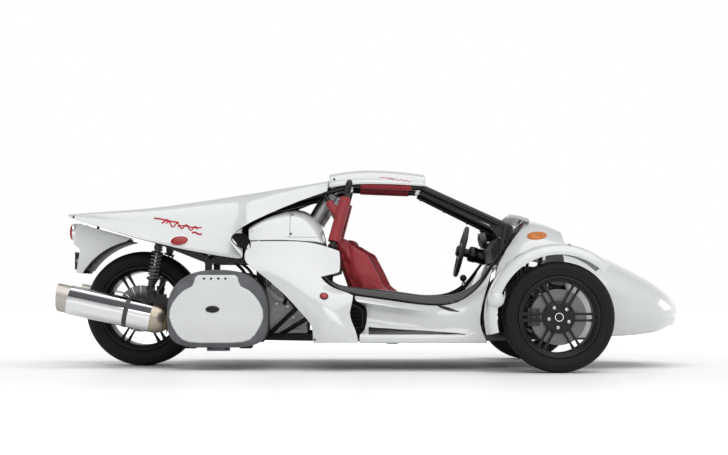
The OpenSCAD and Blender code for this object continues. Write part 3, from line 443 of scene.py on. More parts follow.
def moulded_finish(name, colour, roughness=0.55, grain=1500):
    """Moulded plastic with a fine leather-like grain."""
    f = Finish(name, colour, roughness, specular_ior_level=0.3)
    f.put("Base Color", f.blend(f.noise(9, 4).above(0.35, 0.75), shade(colour, 0.85), shade(colour, 1.25)))
    f.put("Roughness", roughness + f.noise(70, 3) * 0.14)
    f.bump(f.cells(grain), 0.35, 0.0004)


def metal_finish(name, colour, roughness=0.3, brush=(1, 1, 1), grain=500, strength=0.15):
    """Bare metal, brushed where the stretch is uneven."""
    f = Finish(name, colour, roughness, 1.0)
    lines = f.noise(grain, 3, 0.6, f.where(stretch=brush))
    stain = f.noise(7, 5, 0.6)
    f.put("Base Color", f.blend(stain.above(0.35, 0.8), colour, shade(colour, 0.8)))
    f.put("Roughness", roughness - 0.06 + lines * 0.14 + stain * 0.08)
    f.bump(lines, strength, 0.0005)


RADII_PER_METRE = 12.27  # of the silencer


def polished_finish(name, colour, start, end):
    """Polished tube, with a painted reflection: a darker stripe painted into its colour along its upper side, where the
    room would be mirrored.
    """
    f = Finish(name, colour, 0.12, 1.0)
    x = f.axes(f.where(start, turn=between(start, end).to_euler()))[0]
    x = x * RADII_PER_METRE
    # Painted reflection: a dark stripe along the tube, painted into the base colour.
    painted_reflection_band = x.above(0.22, 0.34) * (1 - x.above(0.62, 0.80))
    f.put("Base Color", f.blend(painted_reflection_band, colour, (0.05, 0.05, 0.055)))
    f.put("Roughness", 0.10 + f.noise(160, 3) * 0.05)
    f.bump(f.noise(260, 2), 0.02, 0.0003)


def cast_finish(name, colour, roughness=0.45):
    """Sand-cast alloy: fine pits, darker in the hollows."""
    f = Finish(name, colour, roughness, 0.85)
    pits = f.cells(520)
    f.put("Base Color", f.blend(f.noise(16, 6, 0.7).above(0.4, 0.75), colour, shade(colour, 0.62)))
    f.put("Roughness", roughness + f.noise(90, 3) * 0.16)
    f.bump(pits + f.noise(240, 4), 0.4, 0.0006)


def disc_finish(name, colour, centre):
    """Turned steel: rings about the wheel's axle."""
    f = Finish(name, colour, 0.32, 1.0)
    x, y, z = f.axes(f.where(centre))
    r = (x * x + z * z) ** 0.5
    rings = f.noise(1, 2, 0.6, f.add("ShaderNodeCombineXYZ", {}, r * 900, y * 40, 0.0))
    f.put("Base Color", f.blend(rings.above(0.3, 0.7), colour, shade(colour, 0.72)))
    f.put("Roughness", 0.24 + rings * 0.22)
    f.bump(rings, 0.25, 0.0004)


def leather_finish(name, colour, grain=260, creases=26):
    """Leather: pebble grain, soft creases, the raised folds painted lighter, partly as wear and partly as a painted
    sheen.
    """
    f = Finish(name, colour, 0.45, sheen_weight=0.12, specular_ior_level=0.45)
    pebble = f.cells(grain, feature="SMOOTH_F1")
    fold_and_sheen = f.noise(creases, 5, 0.62)
    tone = f.noise(4, 3)
    # The raised folds are painted lighter: partly wear, partly a painted sheen.
    f.put("Base Color", f.blend(tone.above(0.3, 0.7), shade(colour, 0.78),
                                f.blend(fold_and_sheen.above(0.5, 0.75), colour, shade(colour, 1.3))))
    f.put("Roughness", 0.36 + pebble * 0.22 + fold_and_sheen * 0.12)
    f.bump(pebble * 0.7 + fold_and_sheen * 0.8 + f.noise(900, 2) * 0.25, 0.55, 0.0012)


def carbon_finish(name, colour):
    """Lacquered twill weave."""
    f = Finish(name, colour, 0.32, coat_weight=0.35, coat_roughness=0.06, specular_ior_level=0.25)
    x, y, z = f.axes()
    turn = 2 * math.pi / 0.0085
    twill = ((x + y * 1.6 + z * 0.4) * turn).wave() * ((x * 1.6 - y - z * 0.4) * turn).wave()
    f.put("Base Color", f.blend((twill + 1) * 0.5, shade(colour, 0.5), tuple(c + 0.02 for c in colour[:3])))
    f.put("Roughness", 0.26 + (twill + 1) * 0.1)
    f.bump(f.noise(60, 2), 0.05, 0.0005)


def rubber_finish(name, colour):
    """Tyre rubber: matt, greyer where dust holds."""
    f = Finish(name, colour, 0.62, specular_ior_level=0.2)
    dust = f.noise(18, 5, 0.7).above(0.45, 0.8)
    f.put("Base Color", f.blend(dust * 0.5, colour, (0.022, 0.0215, 0.021)))
    f.put("Roughness", 0.62 + dust * 0.2)
    f.bump(f.noise(700, 3), 0.3, 0.0005)


def lens_finish(name, colour, alpha, ribs=0.006, painted_glow=0.0):
    """Moulded lens plastic with fine optical ribs, made to shine faintly in its own colour as painted light."""
    f = Finish(name, colour, 0.16, coat_weight=0.25, coat_roughness=0.02, alpha=alpha,
               emission_strength=painted_glow, ior=1.49)
    x, y, z = f.axes()
    turn = 2 * math.pi / ribs
    ribbing = (z * turn).wave() * ((x + y) * turn).wave()
    f.put("Base Color", f.blend((ribbing + 1) * 0.5, shade(colour, 0.75), shade(colour, 1.15)))
    f.put("Emission Color", (*colour[:3], 1))
    f.put("Roughness", 0.07 + f.noise(40, 3) * 0.08)
    f.bump(ribbing, 0.25, 0.0008)


def mesh_finish(name, colour, start, end, pitch=0.0052):
    """Perforated sheet rolled about the line from start to end."""
    f = Finish(name, colour, 0.3, 1.0)
    x, y, z = f.axes(f.where(start, turn=between(start, end).to_euler()))
    around = f.add("ShaderNodeMath", {"operation": "ARCTAN2"}, x, y)
    holes = (around * (2 * math.pi * INTAKE_R / pitch)).wave() * (z * (2 * math.pi / pitch)).wave()
    solid = 1 - holes.above(0.05, 0.35)
    f.put("Alpha", solid)
    f.put("Base Color", f.blend(f.noise(50, 3), colour, shade(colour, 0.75)))
    f.put("Roughness", 0.22 + f.noise(200, 2) * 0.2)
    f.bump(solid, 0.4, 0.0006)


# ---- Sizes and colours a user would change ----
def colour(name, description, default):
    return FloatVectorProperty(name=name, description=description, default=default, subtype="COLOR", min=0.0, max=1.0)


def length(name, description, default, low, high):
    return FloatProperty(name=name, description=description, default=default, min=low, max=high, unit="LENGTH",
                         precision=4)


class CarColours(bpy.types.PropertyGroup):
    """Colours of the car's finishes."""

    paint: colour("Body paint", "Gloss paint of the body panels and pannier lids", (0.57, 0.582, 0.582))
    leather: colour("Seat leather", "Leather of both seats", (0.300, 0.011, 0.019))
    padding: colour("Cage padding", "Cover of the foam sleeves on the cage", (0.29, 0.014, 0.022))
    tubes: colour("Tubes", "Coating of the frame and the cage", (0.005, 0.005, 0.0055))
    rims: colour("Rims", "Enamel of the wheel rims", (0.0025, 0.0025, 0.003))
    trim: colour("Dark trim", "Moulded dark parts", (0.009, 0.009, 0.0095))
    pannier: colour("Pannier shell", "Shell of the pannier boxes", (0.10, 0.103, 0.11))
    indicator: colour("Side lamp", "Lens of the side lamps", (0.52, 0.13, 0.001))
    reflector: colour("Red reflector", "Lens of the reflectors and tail lamps", (0.28, 0.005, 0.009))


class CarSizes(bpy.types.PropertyGroup):
    """Sizes of the details that the frame does not set."""

    tread_depth: length("Tread depth", "Depth of the tyre grooves", 0.006, 0.002, 0.009)
    seat_channel: length("Seat channel", "Depth of the sewn channels in the seats", 0.0045, 0.001, 0.008)
    seat_voxel: length("Seat grid", "Grid size of the padded pieces' mesh", 0.0062, 0.005, 0.012)
    bolt_head: length("Bolt head", "Width across the flats of the body bolts", 0.012, 0.006, 0.02)
    spring_wire: length("Spring wire", "Wire diameter of the shock springs", 0.0105, 0.006, 0.014)
    floor_side: length("Floor", "Side of the studio floor", 60.0, 10.0, 120.0)
    tread_blocks: IntProperty(name="Tread blocks", description="Blocks round each tyre rib", default=60, min=30, max=90)


def make_materials(c):
    paint_finish("white_paint", c.paint)
    coated_finish("black_tube", c.tubes, 0.2, coat=0.35)
    coated_finish("black_frame", shade(c.tubes, 1.5), 0.42)
    coated_finish("rim_enamel", c.rims, 0.3, coat=0.15)
    coated_finish("dark_enamel", (0.035, 0.035, 0.038), 0.34)
    moulded_finish("black_plastic", c.trim, 0.5)
    moulded_finish("gloss_black", shade(c.trim, 0.6), 0.16, 500)
    moulded_finish("tub_liner", (0.022, 0.022, 0.024), 0.72, 800)
    moulded_finish("pannier_shell", c.pannier, 0.3, 1400)
    moulded_finish("seal_rubber", (0.012, 0.012, 0.012), 0.75, 900)
    carbon_finish("carbon_weave", (0.012, 0.012, 0.013))
    rubber_finish("tyre_rubber", (0.006, 0.006, 0.0062))
    leather_finish("seat_leather", c.leather)
    leather_finish("grip_leather", (0.014, 0.014, 0.014), 420, 40)
    leather_finish("pad_cover", c.padding, 420, 34)
    metal_finish("bright_steel", (0.62, 0.62, 0.63), 0.2, grain=700, strength=0.08)
    metal_finish("brushed_cap", (0.47, 0.44, 0.40), 0.34, brush=(4, 1, 4), grain=220, strength=0.25)
    polished_finish("polished_can", (0.72, 0.725, 0.73), Vector((-1.75, -0.4, 0.392)), Vector((-1.157, -0.4, 0.262)))
    metal_finish("heat_tint", (0.42, 0.36, 0.29), 0.26, brush=(2, 1, 1), grain=90, strength=0.08)
    coated_finish("bright_cast", (0.86, 0.86, 0.84), 0.5, coat=0.0)
    coated_finish("spring_grey", (0.10, 0.10, 0.105), 0.3)
    # Black of the edge rubber, and painted shade in the tail inlet and behind the side intake.
    moulded_finish("rubber_black_and_hole_shade", (0.004, 0.004, 0.004), 0.85, 900)
    metal_finish("chrome", (0.78, 0.79, 0.80), 0.09, grain=200, strength=0.03)
    cast_finish("cast_alloy", (0.46, 0.465, 0.47))
    cast_finish("dark_cast", (0.06, 0.06, 0.063), 0.5)
    disc_finish("disc_right", (0.17, 0.17, 0.175), HUB_R)
    disc_finish("disc_left", (0.17, 0.17, 0.175), HUB_L)
    disc_finish("disc_rear", (0.17, 0.17, 0.175), HUB_REAR)
    # The side lamp and red lenses shine faintly as painted light; the red lens also serves the reflectors, which are no
    # lamps.
    lens_finish("side_lens", c.indicator, 0.97, 0.004, 0.08)
    lens_finish("red_lens", c.reflector, 0.97, 0.005, 0.08)
    lens_finish("clear_lens", (0.72, 0.75, 0.78), 0.35, 0.008)
    lens_finish("smoked_screen", (0.10, 0.11, 0.105), 0.88, 0.5)
    moulded_finish("mark_red", (0.42, 0.012, 0.03), 0.3, 900)
    for name, s in (("mesh_right", -1), ("mesh_left", 1)):
        mesh_finish(name, (0.58, 0.585, 0.59), *intake_line(s))


def intake_line(s):
    """The foot and the top of one intake cylinder, on side s."""
    low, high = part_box("air_filters")
    tilt = Vector((108, 0, 177)).normalized()
    reach, drop, y = INTAKE_R * tilt.z, INTAKE_R * tilt.x, s * (high.y - INTAKE_R)
    return Vector((low.x + reach, y, low.z + drop)), Vector((high.x - reach, y, high.z - drop))


# ---- Pieces carried over from the frame, with their edges and faces worked ----
def sheet_panel(node, name, finish="white_paint", levels=1):
    """A body panel: welded, edges rolled, faces rounded."""
    o = frame_copy(node, name)
    crease(o, 50, 0.75)
    modify(o, "SUBSURF", levels=levels, render_levels=levels)
    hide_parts(node)
    return finish_piece(o, finish, BODY_OF[node], 50)


def worked(node, name, finish, width=0.0015, segments=2, angle=35):
    """A solid part: welded, edges rounded."""
    o = frame_copy(node, name)
    if width:
        round_edges(o, width, segments, angle)
    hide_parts(node)
    return finish_piece(o, finish, BODY_OF[node], angle)


def paint_faces(o, finish, test):
    """Faces whose test(middle, normal) holds take another finish."""
    index = len(o.data.materials)
    o.data.materials.append(MATERIALS[finish])
    for p in o.data.polygons:
        if test(p.center, p.normal):
            p.material_index = index
    return o


PANELS = [("nose_panel", "nose_shell"), ("cowl_panel", "cowl_shell"), ("fender_left", "fender_shell_left"),
          ("fender_right", "fender_shell_right"), ("side_pod_left", "pod_shell_left"),
          ("side_pod_right", "pod_shell_right"), ("rear_quarter_left", "quarter_shell_left"),
          ("rear_quarter_right", "quarter_shell_right"), ("roof_panel", "roof_shell"), ("tail_panel", "tail_shell")]


def build_panels():
    """The body panels, painted outside and dark where they face the engine and the rear wheel."""
    for node, name in PANELS:
        o = sheet_panel(node, name, levels=2 if node in ("nose_panel", "tail_panel", "roof_panel", "cowl_panel") else 1)
        if node == "tail_panel":
            paint_faces(o, "black_plastic", lambda c, n: n.z < -0.3 and c.x > -1.45)
    o = worked("engine_cover", "engine_cover_shell", "white_paint", 0, angle=50)
    o = sheet_panel("sill_trims", "cockpit_edge_trims", "carbon_weave", levels=2)
    o = worked("rear_mudguard", "mudguard_shell", "white_paint", 0.002)
    # Dark inside the arch, below the lamps and on the plate's recess
    x, z, r = HUB_REAR.x, HUB_REAR.z, REAR_TYRE_R + 0.066
    paint_faces(o, "black_plastic", lambda c, n: math.hypot(c.x - x, c.z - z) < r
                or (c.x < x - 0.38 and c.z < z + 0.325) or (abs(c.y) < 0.16 and n.x > 0.6 and c.x < x - 0.3))


WORKED = [
    # node, piece, finish, edge width, slot
    ("floor_pan", "floor_tub", "tub_liner", 0.001, "tub"),
    ("lower_frame", "chassis_frame", "black_frame", 0.0, "frame"),
    ("frame_fittings", "chassis_fittings", "black_frame", 0.001, "frame"),
    ("roll_cage", "roll_cage_tubes", "black_tube", 0.0, "frame"),
    ("intake_ducts", "side_intakes", "black_plastic", 0.0015, "dark_plastic"),
    ("dashboard", "dash_moulding", "black_plastic", 0.006, "dark_plastic"),
    ("steering_column", "steering_column_tube", "dark_enamel", 0.001, "dark_metal"),
    ("driver_controls", "pedals_and_lever", "black_plastic", 0.0015, "dark_plastic"),
    ("tie_rods", "track_rods", "bright_steel", 0.0008, "bright_steel"),
    ("knuckle_left", "knuckle_casting_left", "dark_cast", 0.003, "cast_alloy"),
    ("knuckle_right", "knuckle_casting_right", "dark_cast", 0.003, "cast_alloy"),
    ("engine", "engine_block", "bright_cast", 0.008, "cast_alloy"),
    ("pannier_box_left", "pannier_body_left", "pannier_shell", 0.0015, "pannier_grey"),
    ("pannier_box_right", "pannier_body_right", "pannier_shell", 0.0015, "pannier_grey"),
    ("wind_deflector", "wind_screen", "smoked_screen", 0.0, "clear_plastic"),
]


def build_worked():
    """Solid parts of the frame with rounded edges."""
    for node, name, finish, width, slot in WORKED:
        worked(node, name, finish, width, 2)


def mirrored_pair(left, name, finish, bodies, angle=35):
    """The left-hand piece and its mirror image on the right."""
    take(left)
    bpy.ops.object.duplicate()
    right = bpy.context.object
    right.data.transform(MIRROR)
    right.data.flip_normals()
    for o, side, body in ((left, "left", bodies[0]), (right, "right", bodies[1])):
        o.name = o.data.name = f"{name}_{side}"
        finish_piece(o, finish, body, angle)
    return left, right


# ---- Wheels ----
FRONT_TYRE = [(.2036, .060), (.2036, .080), (.210, .0845), (.214, .087), (.218, .0915), (.221, .0952), (.225, .0974),
              (.2285, .098), (.231, .0972), (.234, .0988), (.243, .1016), (.2515, .1021), (.2525, .101), (.2545, .101),
              (.2555, .102), (.264, .1007), (.2717, .0982), (.278, .0944), (.2835, .0884), (.2873, .0814),
              (.289, .0755), (.2903, .057), (.2843, .056), (.2843, .048), (.2907, .047), (.291, .022), (.285, .021),
              (.285, .013), (.291, .012), (.291, 0.0)]
REAR_TYRE = [(.229, .100), (.229, .120), (.235, .1245), (.239, .128), (.243, .134), (.247, .1385), (.252, .1405),
             (.256, .1400), (.259, .1415), (.270, .1462), (.2785, .1469), (.280, .1458), (.282, .1458), (.2835, .1466),
             (.294, .1445), (.304, .140), (.312, .133), (.3185, .122), (.3225, .110), (.3255, .090), (.3195, .089),
             (.3195, .079), (.3262, .078), (.327, .042), (.321, .041), (.321, .030), (.327, .029), (.327, 0.0)]


FACES_PER_BLOCK, TREAD_RAKE = 5, 0.11


def tyre(name, half, centre, sizes, body, node, gap):
    """A tyre turned from its section, with slots pressed into the ribs and raked into a V."""
    steps = sizes.tread_blocks * FACES_PER_BLOCK
    slotted = slots(steps, FACES_PER_BLOCK)
    top = half[-1][0]
    profile = half + [(r, -y) for r, y in reversed(half[:-1])]
    o = turned(name, profile, steps, "Y")
    wide = max(y for r, y in half)
    edit(o, "FACE")
    mesh = bmesh.from_edit_mesh(o.data)
    for f in mesh.faces:
        c = f.calc_center_median()
        r = math.hypot(c.x, c.z)
        rib = abs(c.y) > gap * wide or 0.22 * wide < abs(c.y) < 0.44 * wide
        if slotted(c) and rib and r > top * 0.9755 and abs(f.normal.y) < 0.86:
            f.select_set(True)
    bmesh.update_edit_mesh(o.data)
    bpy.ops.mesh.extrude_region_shrink_fatten(TRANSFORM_OT_shrink_fatten={"value": -sizes.tread_depth * 0.75})
    clear()
    for v in o.data.vertices:
        turn = TREAD_RAKE * min(abs(v.co.y), wide * 0.8) / (wide * 0.8)
        v.co = Matrix.Rotation(turn, 3, "Y") @ v.co
    o.data.transform(Matrix.Translation(centre))
    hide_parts(node)
    return finish_piece(o, "tyre_rubber", body, 28)


def rim_ring(name, bead, half, well):
    """The barrel of a rim, with a stepped lip."""
    b, h, w = bead, half, well
    profile = [(b, -h + .012), (b, h - .012), (b + .0018, h - .0085), (b + .0096, h - .0055), (b + .0098, h - .0012),
               (b + .008, h), (b + .003, h), (b, h - .0018), (b - .003, h - .0045), (b - .0042, h - .009),
               (b - .0085, h - .011), (b - .0098, h - .0165), (b - .0135, h - .019), (b - .0148, h - .026),
               (b - .017, h - .034), (w, h - .055), (w, -h + .032), (b - .012, -h + .014), (b - .004, -h + .002),
               (b, -h), (b + .008, -h), (b + .0098, -h + .0012), (b + .0096, -h + .0055), (b + .0018, -h + .0085),
               (b, -h + .012)]
    return turned(name, profile, 96, "Y")


def spoke(name, inner, outer, y_back, y_front, width):
    """One bar: narrow at the middle, dished between hub and rim."""
    o = primitive(name, "cube", size=1, location=((inner + outer) / 2, (y_back + y_front) / 2, 0),
                  scale=(outer - inner, y_front - y_back, width))
    edit(o, "EDGE", everything=True)
    bpy.ops.mesh.subdivide(number_cuts=5)
    clear()
    for v in o.data.vertices:
        t = (v.co.x - inner) / (outer - inner)
        v.co.z *= 0.78 + 0.62 * (2 * t - 1) ** 2 * (1.25 if t > 0.5 else 0.7)
        front = (v.co.y - y_back) / (y_front - y_back)
        v.co.y -= front * 0.0085 * math.sin(math.pi * t)
    return round_edges(o, 0.0022, 2, 50)


def wheel_face(name, count, gap, inner, outer, y_back, y_front, width):
    """Pairs of spokes round the hub."""
    bar = spoke(name, inner, outer, y_back, y_front, width)
    turns = [Matrix.Rotation(2 * math.pi * i / count, 4, "Y") @ Matrix.Translation((0, 0, s * gap / 2))
             for i in range(count) for s in (-1, 1)]
    return join(name, copies(bar, turns))


def lug_nuts(name, ring, y, count, phase):
    """Hexagonal nuts in a ring, each with a stepped end."""
    nut = primitive(name, "cylinder", vertices=6, radius=0.0098, depth=0.016, location=(ring, y, 0),
                    rotation=(math.pi / 2, 0, 0))
    pick(nut, "FACE", lambda c, n: n.y > 0.9)
    bpy.ops.mesh.inset(thickness=0.0022)
    bpy.ops.mesh.extrude_region_move(TRANSFORM_OT_translate={"value": (0, 0.003, 0)})
    bpy.ops.transform.resize(value=(0.7, 1, 0.7), center_override=(ring, y, 0))
    clear()
    round_edges(nut, 0.0012, 2, 25)
    return join(name, copies(nut, [Matrix.Rotation(phase + 2 * math.pi * i / count, 4, "Y") for i in range(count)]))


def build_wheels(sizes):
    """Tyres, rims, nuts, caps, discs and calipers of the three wheels."""
    for node, centre, side in (("front_tyre_left", HUB_L, "left"), ("front_tyre_right", HUB_R, "right")):
        tyre(f"front_tread_{side}", FRONT_TYRE, centre, sizes, f"front_wheel_{side}", node, 0.57)
    tyre("rear_tread", REAR_TYRE, HUB_REAR, sizes, "rear_wheel", "rear_tyre", 0.64)
    build_front_rims()
    build_rear_rim()
    build_calipers()


def build_front_rims():
    """Rims with their nuts, caps and brake discs, modelled on the left and mirrored."""
    bodies = ("front_wheel_left", "front_wheel_right")
    place = Matrix.Translation(HUB_L)
    parts = [rim_ring("rim", .2032, .0922, .1865), wheel_face("spokes", 6, .034, .062, .1885, .047, .0675, .0132)]
    parts.append(turned("hub", [(.0001, .066), (.030, .066), (.034, .0675), (.044, .0655), (.066, .0655), (.080, .0635),
                                (.0845, .0600), (.086, .047), (.082, .037), (.060, .033), (.0205, .033),
                                (.0205, .060), (.0001, .060)], 64))
    rim = join("rim", parts)
    rim.data.transform(place)
    left, right = mirrored_pair(rim, "front_wheel_rim", "rim_enamel", bodies)
    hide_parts("front_rim_left")
    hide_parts("front_rim_right")
    nuts = lug_nuts("nuts", .055, .069, 5, -math.radians(46.6))
    nuts.data.transform(place)
    mirrored_pair(nuts, "wheel_nuts", "bright_steel", bodies)
    ring = turned("cap_ring", [(.0185, .066), (.0185, .0722), (.0192, .0732), (.0226, .0732), (.0236, .0722),
                               (.0236, .066), (.0185, .066)], 64)
    ring.data.transform(place)
    mirrored_pair(ring, "cap_rings", "chrome", bodies)
    cap = turned("cap", [(.0001, .0712), (.010, .0716), (.0165, .0706), (.0185, .070), (.0245, .0705), (.0285, .0692),
                         (.0300, .0665), (.0300, .064), (.0001, .064)], 64)
    cap.data.transform(place)
    mirrored_pair(cap, "wheel_caps", "gloss_black", bodies)
    disc = turned("disc", [(.0205, .030), (.066, .030), (.071, .0285), (.074, .0245), (.1465, .0240), (.148, .0228),
                           (.148, .0186), (.140, .0180), (.140, .0100), (.148, .0094), (.148, .0052), (.1465, .004),
                           (.078, .004), (.074, .006), (.070, .012), (.0205, .012), (.0205, .030)], 96)
    slotted = slots(96, 8)
    press(disc, lambda c, n: n.y > 0.9 and .085 < math.hypot(c.x, c.z) and slotted(c), 0.0022, (0, -0.0015, 0))
    disc.data.transform(place)
    right = mirrored_pair(disc, "brake_disc", "disc_left", bodies)[1]
    right.data.materials[0] = MATERIALS["disc_right"]


def build_rear_rim():
    """The rear rim with its disc on the right and its toothed pulley on the left."""
    place = Matrix.Translation(HUB_REAR)
    ring = rim_ring("rim", .2286, .1327, .2095)
    face = wheel_face("spokes", 6, .036, .070, .213, .044, .070, .015)
    hub = turned("hub", [(.0135, .166), (.038, .166), (.046, .160), (.047, .080), (.060, .072), (.078, .070),
                         (.084, .062), (.082, .040), (.050, .034), (.046, -.10), (.045, -.160), (.038, -.166),
                         (.0135, -.166), (.0135, .166)], 64)
    rim = join("rear_wheel_rim", [ring, face, hub])
    rim.data.transform(place @ MIRROR)
    rim.data.flip_normals()
    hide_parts("rear_rim")
    finish_piece(rim, "rim_enamel", "rear_wheel")
    disc = turned("rear_disc", [(.047, .1655), (.062, .1655), (.068, .1678), (.131, .1678), (.132, .1668),
                                (.132, .1632), (.131, .162), (.047, .162), (.047, .1655)], 96)
    slotted = slots(96, 6)
    pick(disc, "FACE", lambda c, n: abs(n.y) > 0.9 and .075 < math.hypot(c.x, c.z) and slotted(c))
    bpy.ops.mesh.inset(thickness=0.002)
    bpy.ops.mesh.delete(type="FACE")
    clear()
    disc.data.transform(place @ MIRROR)
    disc.data.flip_normals()
    finish_piece(disc, "disc_rear", "rear_wheel")
    tooth = turned("pulley", [(.047, .1625), (.090, .1625), (.098, .1640), (.098, .1665), (.090, .1675), (.060, .1675),
                              (.047, .166), (.047, .1625)], 90)
    slotted = slots(90, 3)
    pick(tooth, "FACE", lambda c, n: math.hypot(c.x, c.z) > .094 and slotted(c))
    bpy.ops.mesh.extrude_region_shrink_fatten(TRANSFORM_OT_shrink_fatten={"value": -0.003})
    clear()
    tooth.data.transform(place)
    finish_piece(tooth, "dark_enamel", "rear_wheel")


def build_calipers():
    """Calipers behind the front axle, on the knuckles."""
    boss = turned("boss", [(.0001, .0415), (.010, .0415), (.0135, .0405), (.016, .0385), (.0165, .030),
                           (.0001, .030)], 32)
    made = copies(boss, [Matrix.Translation((-.130, 0, z)) for z in (-.028, 0, .028)])
    rib = primitive("rib", "cube", size=1, location=(-.130, .034, 0), scale=(.058, .012, .088))
    press(rib, lambda c, n: n.y > 0.9, 0.006, (0, -0.003, 0))
    round_edges(rib, 0.002, 2, 40)
    caliper = join("caliper", [*made, rib])
    caliper.data.transform(Matrix.Translation(HUB_L))
    mirrored_pair(caliper, "brake_caliper", "dark_enamel", ("knuckle_left", "knuckle_right"))


# ---- Padded pieces ----
CLOTH_FRAMES = 20


def inflated(o, voxel, start_in, cap, pressure=4.0, fill=0.7):
    """A pad: remeshed, drawn in a little, then blown up as cloth with its travel capped."""
    take(o)
    modify(o, "REMESH", mode="VOXEL", voxel_size=voxel)
    modify(o, "SMOOTH", factor=0.5, iterations=4)
    modify(o, "DISPLACE", strength=-start_in, mid_level=0)
    rest = [v.co.copy() for v in o.data.vertices]
    take(o)
    m = o.modifiers.new("Cloth", "CLOTH")
    m.settings.quality = 4
    m.settings.mass = 0.3
    m.settings.tension_stiffness = m.settings.compression_stiffness = 12
    m.settings.bending_stiffness = 0.8
    m.settings.use_pressure = True
    m.settings.uniform_pressure_force = pressure
    m.settings.effector_weights.gravity = 0
    m.point_cache.frame_start, m.point_cache.frame_end = 1, CLOTH_FRAMES
    scene = bpy.context.scene
    for n in range(1, CLOTH_FRAMES + 1):
        scene.frame_set(n)
    bpy.context.view_layer.update()
    blown = o.evaluated_get(bpy.context.evaluated_depsgraph_get()).data
    moved = [v.co.copy() for v in blown.vertices]
    o.modifiers.remove(m)
    scene.frame_set(1)
    for v, a, b in zip(o.data.vertices, rest, moved):
        step = b - a
        if step.length > cap:
            step *= cap / step.length
        v.co = a + step
    modify(o, "SMOOTH", factor=0.5, iterations=2)
    modify(o, "SUBSURF", levels=1, render_levels=1)
    return o


def groove(o, near, depth, width, keep=lambda p: True):
    """A sewn channel: points close to the line sink in."""
    o.data.update()
    normals = [n.vector.copy() for n in o.data.vertex_normals]
    for v, n in zip(o.data.vertices, normals):
        if keep(v.co):
            d = near(v.co)
            if abs(d) < width * 2.5:
                v.co -= n * depth * math.exp(-(d / width) ** 2)
    return o


def build_seats(sizes):
    """The driver's pad, sewn with channels, its copy for the passenger, and the runners."""
    low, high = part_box("driver_seat")
    y0 = (low.y + high.y) / 2
    seat = frame_copy("driver_seat", "seat_driver")
    # The pad alone: the seat's runners stay as hard pieces
    edit(seat, "VERT")
    bpy.ops.mesh.separate(type="LOOSE")
    clear()
    pieces = [o for o in bpy.context.scene.objects if o.name.startswith("seat_driver")]
    pieces.sort(key=lambda o: -sum(o.dimensions))
    pad = pieces.pop(0)
    for o in pieces:
        bpy.data.objects.remove(o)
    pad.name = pad.data.name = "seat_driver"
    round_edges(pad, 0.022, 3, 40)
    inflated(pad, sizes.seat_voxel, 0.006, 0.016)
    x0 = low.x
    half = (high.y - low.y) / 2
    depth = sizes.seat_channel
    floor_z = low.z + 0.11
    width = 0.005

    def bow(p):
        return 0.02 * math.cos((p.y - y0) * 9)

    for side in (-1, 1):
        groove(pad, lambda p: p.y - y0 - side * (half - 0.064) * (1 - 0.42 * max(0, p.z - 0.52) / 0.22),
               depth, width, lambda p: p.z > floor_z and p.x > x0 + 0.02)
    for i in range(4):
        at = x0 + 0.36 + 0.075 * i
        groove(pad, lambda p: p.x - at + bow(p), depth * 0.8, width,
               lambda p: abs(p.y - y0) < half - 0.066 and p.z < low.z + 0.26)
    for i in range(5):
        at = low.z + 0.26 + 0.072 * i
        groove(pad, lambda p: p.z - at - bow(p), depth * 0.8, width,
               lambda p: abs(p.y - y0) < half - 0.070 and p.z > low.z + 0.2)
    take(pad)
    bpy.ops.object.duplicate()
    other = bpy.context.object
    other.name = other.data.name = "seat_passenger"
    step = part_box("passenger_seat")[0] - low  # from one seat to the other
    other.data.transform(Matrix.Translation(step))
    for o, node in ((pad, "driver_seat"), (other, "passenger_seat")):
        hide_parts(node)
        finish_piece(o, "seat_leather", "chassis", 80)
    runner_x, off_middle = x0 + 0.43, 0.12
    runner = primitive("runner", "cube", size=1, scale=(0.36, 0.024, 0.075),
                       location=(runner_x, y0 + off_middle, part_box("floor_pan")[0].z + 0.045))
    edit(runner, "EDGE", everything=True)
    bpy.ops.mesh.subdivide(number_cuts=2)
    pick(runner, "FACE", lambda c, n: abs(n.y) > 0.9 and abs(c.x - runner_x) < 0.1)
    bpy.ops.mesh.inset(thickness=0.006)
    bpy.ops.mesh.extrude_region_shrink_fatten(TRANSFORM_OT_shrink_fatten={"value": -0.006})
    clear()
    round_edges(runner, 0.002, 2, 40)
    runners = join("seat_runners", copies(runner, [
        Matrix.Translation(seat + Vector((0, y, 0))) for seat in (Vector(), step) for y in (0, -2 * off_middle)]))
    finish_piece(runners, "dark_enamel", "chassis")


def build_padding(sizes):
    """Foam sleeves of the cage."""
    pad = frame_copy("cage_padding", "cage_sleeves")
    inflated(pad, sizes.seat_voxel * 0.8, 0.002, 0.005, 3.0)
    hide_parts("cage_padding")
    finish_piece(pad, "pad_cover", "chassis", 80)


# ---- Fittings ----
def bar(name, points, radius, sides=3, rounded=True, closed=False):
    """A round bar bent along points: a curve given thickness, then made a mesh."""
    line = bpy.data.curves.new(name, "CURVE")
    line.dimensions, line.bevel_depth, line.bevel_resolution = "3D", radius, sides
    line.resolution_u, line.use_fill_caps = 8, True
    spline = line.splines.new("BEZIER" if rounded else "POLY")
    nodes = spline.bezier_points if rounded else spline.points
    nodes.add(len(points) - 1)
    for node, p in zip(nodes, points):
        if rounded:
            node.co = Vector(p)
            node.handle_left_type = node.handle_right_type = "AUTO"
        else:
            node.co = (*p, 1)
    spline.use_cyclic_u = closed
    o = bpy.data.objects.new(name, line)
    bpy.context.scene.collection.objects.link(o)
    take(o)
    bpy.ops.object.convert(target="MESH")
    o = bpy.context.object
    o.name = o.data.name = name
    return tidy_mesh(o, 0.00001)


OUTSIDE = 1.6  # further out than any piece


